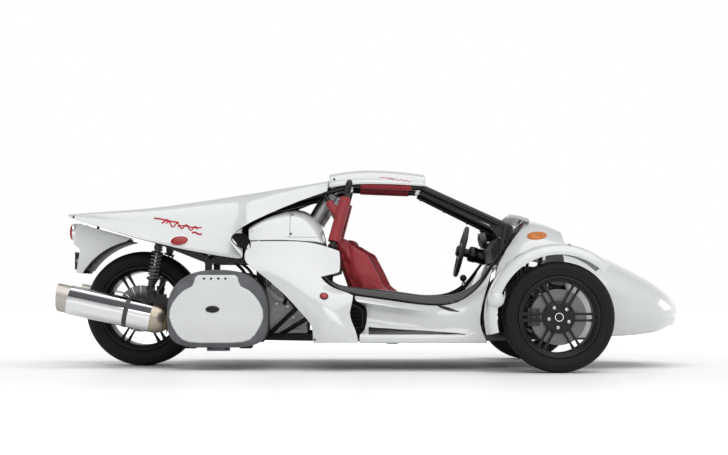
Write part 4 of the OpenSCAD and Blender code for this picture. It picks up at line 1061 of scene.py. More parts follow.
def seen_from_side(piece, x, z, side=-1):
    """The point and normal where a line from one side first meets the piece, or None."""
    found, at, normal, _ = piece.ray_cast(Vector((x, side * OUTSIDE, z)), Vector((0, -side, 0)))
    return (at, normal if normal.y * side > 0 else -normal) if found else None


def touch(piece, x, z, side=-1):
    """The outer point and normal at x and z, or up to 30 mm below where the piece ends lower."""
    for step in range(30):
        met = seen_from_side(piece, x, z - 0.001 * step, side)
        if met:
            return met
    raise RuntimeError(f"{piece.name} has no surface at {x:.3f}, {z:.3f}")


def lie_on(piece, x, z):
    """A matrix whose +Z leaves the piece's right-hand surface and whose +X runs along the car."""
    at, normal = touch(piece, x, z)
    fore = (Vector((1, 0, 0)) - normal * normal.x).normalized()
    up = normal.cross(fore)
    return Matrix.Translation(at) @ Matrix((fore, up, normal)).transposed().to_4x4()


def line_on(piece, points, lift):
    """Points laid on a piece's right-hand side, lifted along its normals."""
    met = [touch(piece, x, z) for x, z in points]
    return [at + normal * lift for at, normal in met]


def both(o, name, finish, body="chassis", angle=35):
    """The right-hand piece and its mirror image."""
    take(o)
    bpy.ops.object.duplicate()
    left = bpy.context.object
    left.data.transform(MIRROR)
    left.data.flip_normals()
    for piece, side in ((o, "right"), (left, "left")):
        piece.name = piece.data.name = f"{name}_{side}"
        finish_piece(piece, finish, body if body == "chassis" else f"{body}_{side}", angle)
    return o, left


def bolt(name, width, height=0.004):
    """A socket-head bolt along +Z."""
    r = width / 2
    return turned(name, [(.0001, height * .45), (r * .45, height * .45), (r * .5, height), (r * .86, height),
                         (r, height * .75), (r, 0), (r * 1.35, -.0002), (r * 1.35, -.003), (.0001, -.003)], 18, "Z")


def build_shock(name, top, foot, coil_r, wire, turns, body_r):
    """Damper, rod, collars and coil spring between two eyes."""
    top, foot = Vector(top), Vector(foot)
    span = (top - foot).length
    place = between(foot, top)
    case = turned("case", [(.0001, .012), (body_r * .8, .014), (body_r, .022), (body_r, span * .20),
                           (body_r * 1.25, span * .205), (body_r * 1.28, span * .225), (coil_r + .003, span * .23),
                           (coil_r + .003, span * .245), (body_r, span * .25), (body_r, span * .52),
                           (body_r * .86, span * .535), (.006, span * .54), (.0001, span * .54)], 40, "Z")
    cap = turned("cap", [(.0001, span - .014), (body_r * .9, span - .016), (body_r, span * .90),
                         (coil_r + .003, span * .885), (coil_r + .003, span * .868), (body_r * .7, span * .862),
                         (.0001, span * .86)], 40, "Z")
    eyes = []
    for h in (0, span):
        eyes.append(turned("eye", [(.008, -.014), (.017, -.014), (.019, -.011), (.019, .011), (.017, .014),
                                   (.008, .014), (.008, -.014)], 32, "Y", (0, 0, h)))
    dark = join("dark", [case, cap, *eyes])
    rod = turned("rod", [(.0001, span * .50), (.0068, span * .50), (.0068, span * .87), (.0001, span * .87)], 24, "Z")
    coil = primitive("coil", "circle", vertices=10, radius=wire / 2, location=(coil_r - wire / 2, 0, span * .252),
                     rotation=(math.pi / 2, 0, 0))
    modify(coil, "SCREW", axis="Z", angle=2 * math.pi * turns, screw_offset=span * .612, steps=28 * turns,
           render_steps=28 * turns, use_normal_calculate=True)
    edit(coil, "VERT", everything=True)
    bpy.ops.mesh.select_all(action="DESELECT")
    bpy.ops.mesh.select_non_manifold(extend=False)
    bpy.ops.mesh.edge_face_add()
    tidy_mesh(coil)
    for o in (dark, rod, coil):
        o.data.transform(place)
    both(dark, f"{name}_damper", "dark_enamel")
    both(rod, f"{name}_rod", "chrome")
    both(coil, f"{name}_spring", "spring_grey")


def cut_away(o, test):
    """Vertices where test(point) holds are taken out of the piece."""
    edit(o, "VERT")
    mesh = bmesh.from_edit_mesh(o.data)
    for v in mesh.verts:
        v.select_set(test(v.co))
    mesh.select_flush(True)
    bmesh.update_edit_mesh(o.data)
    bpy.ops.mesh.delete(type="VERT")
    clear()
    return o


def inside_tube(p, a, b, radius, low, high):
    """Whether p lies in the tube from a to b, between two shares of its length."""
    line = b - a
    t = (p - a).dot(line) / line.length_squared
    return low < t < high and (p - a - line * t).length < radius


def build_suspension(sizes):
    """The arms without their plain dampers, and dampers with coil springs in their places."""
    rear = Vector((-1.212, -.290, .672)), Vector((-1.260, -.2483, .439))
    front = Vector((.964, -.2933, .545)), Vector((.964, -.620, .2283))
    for node, name, (top, foot), radius, ends in (("rear_suspension", "swinging_arm", rear, .0325, (.12, .93)),
                                                  ("front_suspension", "wishbones", front, .0315, (.05, .95))):
        o = frame_copy(node, name)
        cut_away(o, lambda p: inside_tube(Vector((p.x, -abs(p.y), p.z)), top, foot, radius, *ends))
        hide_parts(node)
        finish_piece(o, "black_frame", "chassis")
    build_shock("rear_shock", *rear, .031, sizes.spring_wire, 7, .019)
    build_shock("front_shock", *front, .030, sizes.spring_wire * .9, 8, .018)


STEERING_CENTRE = Matrix.Translation((.524, .270, .660))


def build_controls():
    """The steering wheel, the column's fittings, the dials and the lever."""
    build_steering_wheel()
    build_column()
    build_dials()
    build_lever()


def build_steering_wheel():
    """Rim with stitching, pierced spokes, boss and screws."""
    hub = STEERING_CENTRE @ Matrix.Rotation(-math.radians(76), 4, "Y")
    r, grip = .141, .015
    rim = primitive("rim", "torus", major_radius=r, minor_radius=grip, major_segments=96, minor_segments=20)
    for v in rim.data.vertices:
        a = math.atan2(v.co.y, v.co.x)
        swell = 1 + 0.09 * math.exp(-((abs(a) - 1.05) / 0.22) ** 2)
        ring = Vector((r * math.cos(a), r * math.sin(a), 0))
        v.co = ring + (v.co - ring) * (swell - 0.09)
    stitches, inside, seam = 90, r - grip * .905, []
    for i in range(stitches):
        a = 2 * math.pi * i / stitches
        seam.append((inside * math.cos(a), inside * math.sin(a), 0.0008 * (-1) ** i))
    stitch = bar("stitch", seam, 0.0009, 1, False, True)
    edge = [(.030, .020), (.060, .0135), (.118, .0115), (.130, .019)]
    plate = prism("plate", [(x, -y, -.0022) for x, y in edge] + [(x, y, -.0022) for x, y in reversed(edge)],
                  .0044, (0, 0, 1))
    for at, size in ((.058, .0062), (.080, .0054), (.100, .0046)):
        hole = primitive("hole", "cylinder", vertices=24, radius=size, depth=.03, location=(at, 0, 0))
        modify(plate, "BOOLEAN", operation="DIFFERENCE", object=hole, solver="EXACT")
        bpy.data.objects.remove(hole)
    round_edges(plate, .0008, 1, 40)
    arms = join("arms", copies(plate, [Matrix.Rotation(math.radians(a), 4, "Z") for a in (180, 300, 60)]))
    boss = turned("boss", [(.0001, .033), (.018, .0335), (.026, .031), (.033, .024), (.034, .012), (.050, .008),
                           (.052, .004), (.052, -.005), (.030, -.008), (.026, -.012), (.026, -.0635),
                           (.0083, -.0635), (.0083, -.014), (.0001, -.014)], 48, "Z")
    screws = join("screws", copies(bolt("screw", .008, .003), [
        Matrix.Rotation(math.radians(60 * i + 30), 4, "Z") @ Matrix.Translation((.042, 0, .0075)) for i in range(6)]))
    for o, name, finish, slot in ((rim, "steering_rim", "grip_leather", "grip"),
                                  (stitch, "rim_stitching", "mark_red", None),
                                  (arms, "steering_spokes", "dark_enamel", "dark_metal"),
                                  (boss, "steering_boss", "gloss_black", "dark_plastic"),
                                  (screws, "boss_screws", "bright_steel", None)):
        o.data.transform(hub)
        if name == "steering_rim":
            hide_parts("steering_wheel")
        finish_piece(o, finish, "steering_wheel")


def build_column():
    """Shroud and stalks round the steering column."""
    along = STEERING_CENTRE @ Matrix.Rotation(math.radians(104), 4, "Y")
    shroud = turned("column_shroud", [(.030, .075), (.040, .078), (.046, .088), (.047, .118), (.0435, .124),
                                      (.0435, .150), (.046, .156), (.046, .182), (.040, .190), (.030, .192),
                                      (.030, .075)], 40, "Z")
    shroud.data.transform(along @ Matrix.Translation((0, 0, -.034)))
    finish_piece(shroud, "gloss_black", "chassis")
    stalks = []
    for s in (-1, 1):
        stalks.append(bar("stalk", [(.0, s * .040, .105), (.004, s * .090, .098), (.006, s * .128, .086)], .0048, 3))
        stalks.append(turned("tip", [(.0001, .0), (.006, .0), (.008, .004), (.008, .018), (.006, .022), (.0001, .022)],
                             20, "Y", (.006, s * .128 - .011, .086)))
    o = join("column_stalks", stalks)
    o.data.transform(along @ Matrix.Translation((0, 0, -.012)))
    finish_piece(o, "black_plastic", "chassis")


def build_dials():
    """Three dials in their rims."""
    dials, faces = [], []
    for y, size in ((.225, .042), (.320, .042), (.405, .024)):
        dials.append(turned("dial", [(size, .020), (size + .004, .020), (size + .005, .010), (size + .005, -.014),
                                     (size - .006, -.014), (size - .006, .008), (size, .012), (size, .020)], 40, "X",
                            (0, y - .27, 0)))
        faces.append(turned("face", [(.0001, -.002), (size - .008, -.002), (size - .005, .001), (size - .005, -.008),
                                     (.0001, -.008)], 40, "X", (0, y - .27, 0)))
    tilt = Matrix.Translation(Vector((.655, .27, .726))) @ Matrix.Rotation(math.radians(168), 4, "Y")
    for name, made, finish in (("dial_rims", dials, "dark_enamel"), ("dial_faces", faces, "gloss_black")):
        o = join(name, made)
        o.data.transform(tilt)
        finish_piece(o, finish, "chassis")


def build_lever():
    """The gear lever's boot and collar."""
    boot = turned("lever_boot", [(.046, .031), (.048, .036), (.041, .040), (.043, .046), (.034, .052), (.036, .058),
                                 (.026, .066), (.027, .072), (.016, .082), (.012, .094), (.008, .094), (.008, .031),
                                 (.046, .031)], 40, "Z", (.548, 0, .153))
    finish_piece(boot, "grip_leather", "chassis")
    ring = turned("lever_collar", [(.010, 0), (.013, .002), (.013, .016), (.010, .018), (.010, 0)], 32, "Z",
                  (.5225, 0, .458))
    finish_piece(ring, "bright_steel", "chassis")


def build_lamps():
    """Headlamps, tail lamps, side lamps and reflectors."""
    headlamp, tail_lamp = (.960, -.430, .703), (-1.660, -.112, .762)
    bowl = turned("bowl", [(.010, .060), (.024, .0625), (.031, .072), (.0325, .0795), (.0345, .0805), (.036, .078),
                           (.036, .040), (.028, .020), (.020, .0005), (.0001, .0005), (.0001, .055), (.010, .060)],
                  48, "X", headlamp)
    both(bowl, "headlamp_bowl", "chrome")
    glass = turned("glass", [(.0325, .0785), (.026, .0835), (.014, .0868), (.0001, .0878), (.0001, .0850),
                             (.013, .0840), (.025, .0808), (.031, .077), (.0325, .0785)], 48, "X", headlamp)
    right = both(glass, "headlamp_glass", "clear_lens")[0]
    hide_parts("lamps")
    lens = turned("lens", [(.0475, -.058), (.046, -.064), (.039, -.0735), (.020, -.0795), (.0001, -.0815),
                           (.0001, -.070), (.040, -.056), (.0475, -.050), (.0475, -.058)], 48, "X", tail_lamp)
    both(lens, "tail_lamp_lens", "red_lens")
    case = turned("case", [(.050, -.056), (.0502, -.020), (.040, -.0005), (.0001, -.0005), (.0001, -.046),
                           (.044, -.050), (.0475, -.0585), (.0495, -.0600), (.050, -.056)], 48, "X", tail_lamp)
    both(case, "tail_lamp_case", "chrome")
    # Oval side lamps on the scuttle, with a ringed boss in front of the middle
    scuttle, tail, quarter = (bpy.data.objects[n] for n in ("cowl_shell", "tail_shell", "quarter_shell_right"))
    oval = [(.0001, .0102), (.020, .0098), (.034, .0082), (.043, .0055), (.046, .0025), (.046, -.008), (.0001, -.008)]
    rim = [(.0455, .0015), (.0475, .0042), (.0505, .0040), (.052, .0018), (.0525, -.008), (.0455, -.008),
           (.0455, .0015)]
    across = .105

    def set_oval(name, piece, at, size, glass, edge):
        m = lie_on(piece, *at) @ Matrix.Diagonal((size[0] / across, size[1] / across, 1, 1))
        for part, profile, finish in (("lens", oval, glass), ("rim", rim, edge)):
            o = turned(part, profile, 56, "Z")
            o.data.transform(m)
            both(o, f"{name}_{part}", finish)
        return m

    m = set_oval("side_lamp", scuttle, (.893, .730), (.108, .084), "side_lens", "side_lens")
    ring = turned("ring", [(.0075, .0100), (.0095, .0122), (.0125, .0122), (.0140, .0098), (.0120, .0080),
                           (.0075, .0085), (.0075, .0100)], 32, "Z")
    ring.data.transform(m @ Matrix.Diagonal((1, 2.05, 1, 1)) @ Matrix.Translation((.018, 0, 0)))
    both(ring, "side_lamp_ring", "side_lens")
    set_oval("tail_reflector", tail, (-1.083, .706), (.114, .064), "red_lens", "chrome")
    set_oval("round_reflector", quarter, (-.269, .400), (.047, .047), "red_lens", "gloss_black")


def build_body_details(sizes):
    """Seams, bolts, strokes, dark patches, inlets and caps laid on the body panels; the black of the tail inlet and of
    a vent slot on the pod is painted shade.
    """
    cover, quarter, tail, cowl, roof, pod, fender = (bpy.data.objects[n] for n in (
        "engine_cover_shell", "quarter_shell_right", "tail_shell", "cowl_shell", "roof_shell", "pod_shell_right",
        "fender_shell_right"))
    build_seams(cover, tail)
    build_bolts(((cover, -.452, .850), (cover, -.458, .742), (quarter, -.318, .168), (roof, -.222, 1.052),
                 (fender, 1.02, .668), (tail, -1.70, .846)), sizes.bolt_head)
    build_strokes(tail, roof)
    build_pod_patches(pod)
    build_tail_inlet()
    build_edge_rubber_and_intake_shade()
    build_pod_cap(pod, fender, cowl)
    build_slats()


def build_seams(cover, tail):
    """Panel joints: thin dark seals let into the surface."""
    seams = []
    for piece, points in (
            (cover, [(-.465, .722 + .016 * i) for i in range(10)]),
            (cover, [(-.478 + .020 * i, .724) for i in range(10)]),
            (tail, [(-.74, .64), (-.742, .632), (-.744, .624)])):
        seams.append(bar("seam", line_on(piece, points, -0.0004), .0013, 1))
    both(join("panel_seams", seams), "panel_seams", "seal_rubber")


def build_bolts(places, width):
    """Bolt heads on the panels, where a panel reaches so far."""
    heads = []
    for piece, x, z in places:
        if seen_from_side(piece, x, z):
            head = bolt("head", width)
            head.data.transform(lie_on(piece, x, z))
            heads.append(head)
    both(join("body_bolts", heads), "body_bolts", "dark_enamel")


def build_strokes(tail, roof):
    """Red strokes on the tail and the roof."""
    strokes = []
    for piece, (x0, z0), (x1, z1), swing, turns, width in (
            (tail, (-1.237, .836), (-1.095, .812), .002, 1, .0050),
            (tail, (-1.190, .806), (-1.160, .830), .0, 1, .0050),
            (tail, (-1.165, .806), (-.985, .772), .013, 3.5, .0042),
            (tail, (-1.10, .790), (-.962, .782), .004, 1, .0042),
            (tail, (-1.015, .752), (-.958, .745), .004, 1, .0055),
            (roof, (.030, 1.062), (.110, 1.056), .001, 1, .0020),
            (roof, (.085, 1.056), (.205, 1.040), .005, 4, .0016)):
        path = [(x0 + (x1 - x0) * i / 40, z0 + (z1 - z0) * i / 40 + swing * math.sin(i / 40 * turns * 2 * math.pi))
                for i in range(41)]
        strokes.append(bar("stroke", line_on(piece, path, -.0005), width, 2))
    both(join("side_strokes", strokes), "side_strokes", "mark_red")


def build_pod_patches(pod):
    """Dark patches on the pod: a sliver above, painted shade of a vent slot, and a tapering strip below."""
    patches = []
    # The first outline is painted shade: the dark of a vent slot, laid on the pod as a black sheet.
    for outline in ([(.334, .352), (.366, .345), (.400, .337), (.457, .316), (.430, .317), (.400, .321), (.360, .335)],
                    [(-.030, .2325), (.10, .2235), (.20, .217), (.30, .2105), (.486, .1985), (.486, .1965),
                     (.30, .1955), (.10, .1955), (-.030, .1960)]):
        o = trace("inlay", [(x, -1.0, z) for x, z in outline], closed=True)
        edit(o, "FACE", everything=True)
        bpy.ops.mesh.poke()
        bpy.ops.mesh.subdivide(number_cuts=2)
        clear()
        for v in o.data.vertices:
            at, normal = touch(pod, v.co.x, v.co.z)
            v.co = at + normal * .0012
        modify(o, "SOLIDIFY", thickness=.002, offset=1)
        patches.append(o)
    both(join("pod_inlays", patches), "pod_inlays", "gloss_black")


def build_tail_inlet():
    """Inlet between the tail and the engine cover, with a rolled lip: a shallow black dish whose black is painted shade
    for the deep opening.
    """
    mouth = prism("mouth", [(x, -.506, z) for x, z in (
        (-.784, .7225), (-.776, .737), (-.7636, .744), (-.735, .7455), (-.7128, .739), (-.694, .724), (-.6824, .7083),
        (-.678, .685), (-.677, .6575), (-.690, .6535), (-.7027, .6545), (-.728, .662), (-.7534, .6728), (-.7788, .693),
        (-.785, .707))], .010, (0, -1, 0))
    press(mouth, lambda c, n: n.y < -.9, .005, (0, .008, 0))
    sill, lean = .672, .18
    for v in mouth.data.vertices:
        v.co.y += max(0, v.co.z - sill) * lean
    # The dish's black is painted shade of the inlet's opening.
    both(round_edges(mouth, .001, 2, 40), "tail_inlet", "rubber_black_and_hole_shade")


def build_edge_rubber_and_intake_shade():
    """Rubber along the pods' upper edges, and a black backing behind the side intake's top, painted shade for the
    intake's opening.
    """
    spacing, outermost = .03, {}
    for v in frame["nodes"]["sill_trims"].data.vertices:
        if v.co.y < 0:
            key = round(v.co.x / spacing)
            if key not in outermost or v.co.y < outermost[key].y:
                outermost[key] = v.co.copy()
    path = [outermost[k] + Vector((0, .002, -.004)) for k in sorted(outermost)]
    # Painted shade: a black plate behind the side intake's top opening.
    backing = primitive("backing", "cube", size=1, location=(-.045, -.495, .350), scale=(.22, .006, .150))
    round_edges(backing, .002, 2, 40)
    both(join("edge_rubber", [bar("edge_rubber", path, .0065, 2), backing]), "edge_rubber", "rubber_black_and_hole_shade")


def build_pod_cap(*panels):
    """A domed round cap behind the front wheel, on the first panel that reaches there."""
    cap = turned("cap", [(.0001, .016), (.018, .0145), (.031, .009), (.037, .001), (.039, .0035), (.042, .0030),
                         (.043, .0005), (.043, -.006), (.0001, -.006)], 48, "Z")
    x, z = .632, .385
    under = [q for q in panels if seen_from_side(q, x, z)]
    cap.data.transform(lie_on(under[0], x, z) if under
                       else Matrix.Translation((x, -.58, z)) @ Matrix.Rotation(math.pi / 2, 4, "X"))
    both(cap, "pod_cap", "white_paint")


def build_slats():
    """Slats in the side intakes."""
    slats = []
    for i in range(5):
        z = .242 + .024 * i
        slats.append(prism("slat", [(-.150, -.640, z), (-.075, -.650, z + .004), (-.075, -.650, z + .007),
                                    (-.150, -.640, z + .003)], .03, (0, 1, 0)))
    both(join("intake_slats", slats), "intake_slats", "gloss_black")


def build_intakes():
    """Mesh intake cylinders with flanges and a dark pleated core."""
    pleats = 72
    for s, side in ((-1, "right"), (1, "left")):
        foot, top = intake_line(s)
        span = (top - foot).length
        place = between(foot, top)
        sleeve = turned("sleeve", [(.0452, .010), (.0452, span * .25), (.0456, span * .5), (.0452, span * .75),
                                   (.0452, span - .010), (.0442, span - .010), (.0442, .010), (.0452, .010)], 64, "Z")
        core = primitive("core", "cylinder", vertices=pleats, radius=.036, depth=span - .012,
                         location=(0, 0, span / 2))
        for v in core.data.vertices:
            if round(math.atan2(v.co.y, v.co.x) / (2 * math.pi) * pleats) % 2:
                v.co.x, v.co.y = v.co.x * .86, v.co.y * .86
        caps = turned("caps", [(.0001, .0005), (.044, .0005), (.046, .003), (.046, .010), (.044, .012), (.0001, .012),
                               (.0001, .0005)], 48, "Z")
        ends = copies(caps, [Matrix.Identity(4), Matrix.Translation((0, 0, span - .0125)),
                             Matrix.Translation((0, 0, span * .5 - .006)) @ Matrix.Diagonal((.99, .99, .5, 1))])
        for o, name, finish, slot in ((sleeve, "intake_mesh", f"mesh_{side}", "mesh"),
                                      (core, "intake_core", "seal_rubber", None),
                                      (join("ends", ends), "intake_flanges", "dark_enamel", "dark_metal")):
            o.data.transform(place)
            o.name = o.data.name = f"{name}_{side}"
            if name == "intake_mesh":
                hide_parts("air_filters")
            finish_piece(o, finish, "chassis")


PLATE = [(-.948, .5136), (-.749, .5136), (-.733, .500), (-.728, .478), (-.716, .454), (-.672, .432), (-.640, .402),
         (-.614, .366), (-.598, .325), (-.596, .285), (-.610, .240), (-.638, .192), (-.668, .165), (-.705, .152),
         (-.770, .148), (-.930, .148), (-.992, .152), (-1.030, .165), (-1.060, .192), (-1.088, .240), (-1.102, .285),
         (-1.100, .325), (-1.084, .366), (-1.058, .402), (-1.026, .432), (-.982, .454), (-.970, .478), (-.965, .500)]


def build_panniers():
    """Lids with a painted plate, badge and dots, and the boxes' feet."""
    for side in ("right", "left"):
        o = frame_copy(f"pannier_lid_{side}", f"lid_shell_{side}")
        round_edges(o, .003, 2, 25)
        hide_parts(f"pannier_lid_{side}")
        finish_piece(o, "pannier_shell", f"lid_{side}", 50)
    face = max(abs(corner.y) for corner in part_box("pannier_lid_right"))
    plate = prism("plate", [(x, -(face - .022), z) for x, z in PLATE], .026, (0, -1, 0))
    round_edges(plate, .010, 5, 60)
    for v in plate.data.vertices:
        v.co.y -= .004 * (1 - ((v.co.x + .849) / .27) ** 2) * (1 - ((v.co.z - .33) / .2) ** 2) * (v.co.y < -face - .002)
    both(plate, "lid_plate", "white_paint", "lid", 60)
    trims = [turned("badge", [(.0001, .0030), (.040, .0026), (.046, .0012), (.048, -.006), (.0001, -.006)], 48, "Z")]
    outer = Matrix.Translation((0, -(face + .0075), 0)) @ Matrix.Rotation(math.pi / 2, 4, "X")
    trims[0].data.transform(Matrix.Translation((-.869, 0, .329)) @ outer @ Matrix.Diagonal((.80, .40, 1, 1)))
    dot = turned("dot", [(.0001, .002), (.006, .0018), (.0075, -.004), (.0001, -.004)], 20, "Z")
    trims += copies(dot, [Matrix.Translation((-.915 + .0385 * i, .0030, .494)) @ outer for i in range(4)])
    both(join("lid_trims", trims), "lid_trims", "gloss_black", "lid")
    feet = []
    for x in (-1.00, -.70):
        foot = primitive("foot", "cube", size=1, location=(x, -.540, .128), scale=(.075, .050, .020))
        press(foot, lambda c, n: n.z < -.9, .008, (0, 0, -.004))
        feet.append(round_edges(foot, .003, 2, 40))
    both(join("pannier_feet", feet), "pannier_feet", "black_plastic")


def build_engine():
    """Covers, fins, bolts, bent pipes and struts that make the plain block an engine."""
    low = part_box("engine")[0]
    parts, bolts, dark = [], [], []
    for x, z, r in ((-.530, low.z + .090, .084), (-.680, low.z + .066, .062)):
        parts.append(turned("cover", [(.0001, low.y - .016), (r * .30, low.y - .016), (r * .36, low.y - .010),
                                      (r * .80, low.y - .007), (r * .90, low.y - .001), (r, low.y + .004),
                                      (r, low.y + .022), (.0001, low.y + .022)], 48, "Y", (x, 0, z)))
        for i in range(7):
            a = 2 * math.pi * i / 7
            head = bolt("head", .012, .005)
            head.data.transform(Matrix.Translation((x + r * .9 * math.cos(a), low.y - .001, z + r * .9 * math.sin(a)))
                                @ Matrix.Rotation(math.pi / 2, 4, "X"))
            bolts.append(head)
    fin = prism("fin", [(-.74, -.281, low.z + .012), (-.42, -.281, low.z + .012), (-.40, -.281, low.z + .022),
                        (-.74, -.281, low.z + .020)], .016, (0, 1, 0))
    round_edges(fin, .002, 1, 40)
    parts += copies(fin, [Matrix.Translation((0, 0, .020 * i)) for i in range(2)])
    # Cylinder bank: stacked fins leaning forward
    slab = primitive("slab", "cube", size=1, location=(0, 0, 0), scale=(.205, .515, .006))
    round_edges(slab, .002, 2, 40)
    bank = Matrix.Translation((-.630, 0, low.z + .160)) @ Matrix.Rotation(math.radians(25), 4, "Y")
    parts += copies(slab, [bank @ Matrix.Translation((.100, 0, .060 + .022 * i)) for i in range(6)])
    parts.append(bar("brace", [(-.60, -.292, low.z + .25), (-.52, -.300, low.z + .19), (-.40, -.305, low.z + .20),
                               (-.335, -.30, low.z + .16)], .016))
    parts.append(bar("pipe", [(-.45, -.285, low.z + .26), (-.40, -.33, low.z + .17), (-.385, -.35, low.z + .06)],
                     .013))
    finish_piece(join("engine_castings", parts), "bright_cast", "chassis")
    finish_piece(join("engine_bolts", bolts), "bright_steel", "chassis")
    for a, b, r in (((-.545, -.330, .170), (-.330, -.452, .300), .013),
                    ((-.600, -.325, .172), (-.430, -.420, .330), .013),
                    ((-.590, -.332, .530), (-.430, -.440, .330), .010)):
        dark.append(bar("strut", [a, b], r, 4, False))
    dark.append(bar("pipe", [(-.56, -.20, low.z + .30), (-.50, -.30, low.z + .31), (-.47, -.36, low.z + .26),
                             (-.50, -.38, low.z + .16)], .011))
    dark.append(bar("pipe", [(-.80, -.30, .60), (-.74, -.31, .55), (-.70, -.28, .48)], .009))
    both(join("engine_struts", dark), "engine_struts", "black_frame")


def build_exhaust():
    """The pipes without their plain silencers, and silencers with caps, bores and straps in their places."""
    back, front = Vector((-1.750, -.400, .392)), Vector((-1.157, -.400, .262))
    place = between(back, front)
    span = (front - back).length
    pipes = cut_away(frame_copy("exhausts", "exhaust_pipes"),
                     lambda p: inside_tube(Vector((p.x, -abs(p.y), p.z)), back, front, .083, -.01, 1.01))
    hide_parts("exhausts")
    finish_piece(pipes, "heat_tint", "chassis")
    can = turned("can", [(.0765, .0595), (.0802, .0605), (.0815, .064), (.0815, .11), (.0815, span * .5),
                         (.0815, span - .085), (.0805, span - .080), (.0765, span - .080), (.0765, .0595)], 72, "Z")
    cap = turned("cap", [(.0435, .070), (.0435, .030), (.046, .0195), (.052, .0175), (.070, .0185), (.0762, .0215),
                         (.0765, .026), (.0775, .0585), (.0775, .0600), (.060, .0600), (.060, .070), (.0435, .070)],
                 72, "Z")
    inner = turned("inner", [(.043, .12), (.043, .06), (.0425, .05), (.041, .05), (.041, .12), (.0405, .155),
                             (.0001, .155), (.0001, .158), (.043, .158), (.043, .12)], 40, "Z")
    nose = turned("nose", [(.0806, span - .082), (.0810, span - .070), (.079, span - .040), (.066, span - .008),
                           (.052, span + .010), (.040, span + .022), (.030, span + .022), (.030, span - .082),
                           (.0806, span - .082)], 56, "Z")
    h = span * .62
    strap = turned("strap", [(.0825, h), (.0838, h + .002), (.0838, h + .024), (.0825, h + .026), (.0817, h + .013),
                             (.0825, h)], 56, "Z")
    end_face, set_back, slant = .045, .024, .16
    for v in cap.data.vertices:
        if v.co.z < end_face:
            v.co.z -= set_back + slant * v.co.x
    for o, name, finish in ((can, "silencer_can", "polished_can"), (cap, "silencer_cap", "brushed_cap"),
                            (inner, "silencer_bore", "seal_rubber"), (nose, "silencer_nose", "heat_tint"),
                            (strap, "silencer_strap", "dark_enamel")):
        o.data.transform(place)
        both(o, name, finish)


def build_cage_details():
    """Second pillar tubes with clips and gussets, and the hoop's upper bends and clamps."""
    top, foot = Vector((.262, -.285, 1.012)), Vector((.735, -.425, .785))
    drop = Vector((-.010, .003, -.0225))
    a, b = top + (foot - top) * .02 + drop, top + (foot - top) * .90 + drop
    tubes = [bar("tube", [a, b], .0085, 5, False)]
    for t in (.05, .35, .65, .88):
        clip = prism("clip", [(x, -.010, z) for x, z in ((-.006, -.030), (.006, -.030), (.006, .018), (-.006, .018))],
                     .004, (0, 1, 0))
        clip.data.transform(Matrix.Translation(top + (foot - top) * t + drop * .35 + Vector((0, .002, 0))))
        round_edges(clip, .001, 1, 40)
        tubes.append(clip)
    gusset = prism("gusset", [(.640, -.412, .790), (.735, -.430, .800), (.742, -.433, .742), (.690, -.421, .720)],
                   .008, (0, 1, 0))
    tubes.append(round_edges(gusset, .002, 2, 40))
    both(join("pillar_tubes", tubes), "pillar_tubes", "black_tube")
    elbow = bar("elbow", [(-.158, -.332, .950), (-.146, -.347, 1.0), (-.137, -.350, 1.028), (-.134, -.330, 1.040),
                          (-.133, -.270, 1.045)], .019, 6)
    both(elbow, "hoop_elbow", "black_tube")
    wrap = []
    hoop_foot, hoop_top = Vector((-.246, -.452, .612)), Vector((-.135, -.318, 1.030))
    for t, size in ((.07, .026), (.14, .025)):
        ring = turned("ring", [(.0192, -.010), (size, -.010), (size + .001, -.008), (size + .001, .008), (size, .010),
                               (.0192, .010), (.0192, -.010)], 36, "Z")
        ring.data.transform(Matrix.Translation(hoop_foot.lerp(hoop_top, t)) @ between((0, 0, 0), hoop_top - hoop_foot))
        wrap.append(ring)
    both(join("hoop_clamps", wrap), "hoop_clamps", "gloss_black")


# ---- Stage ----
LENS_MM = 82.58241758


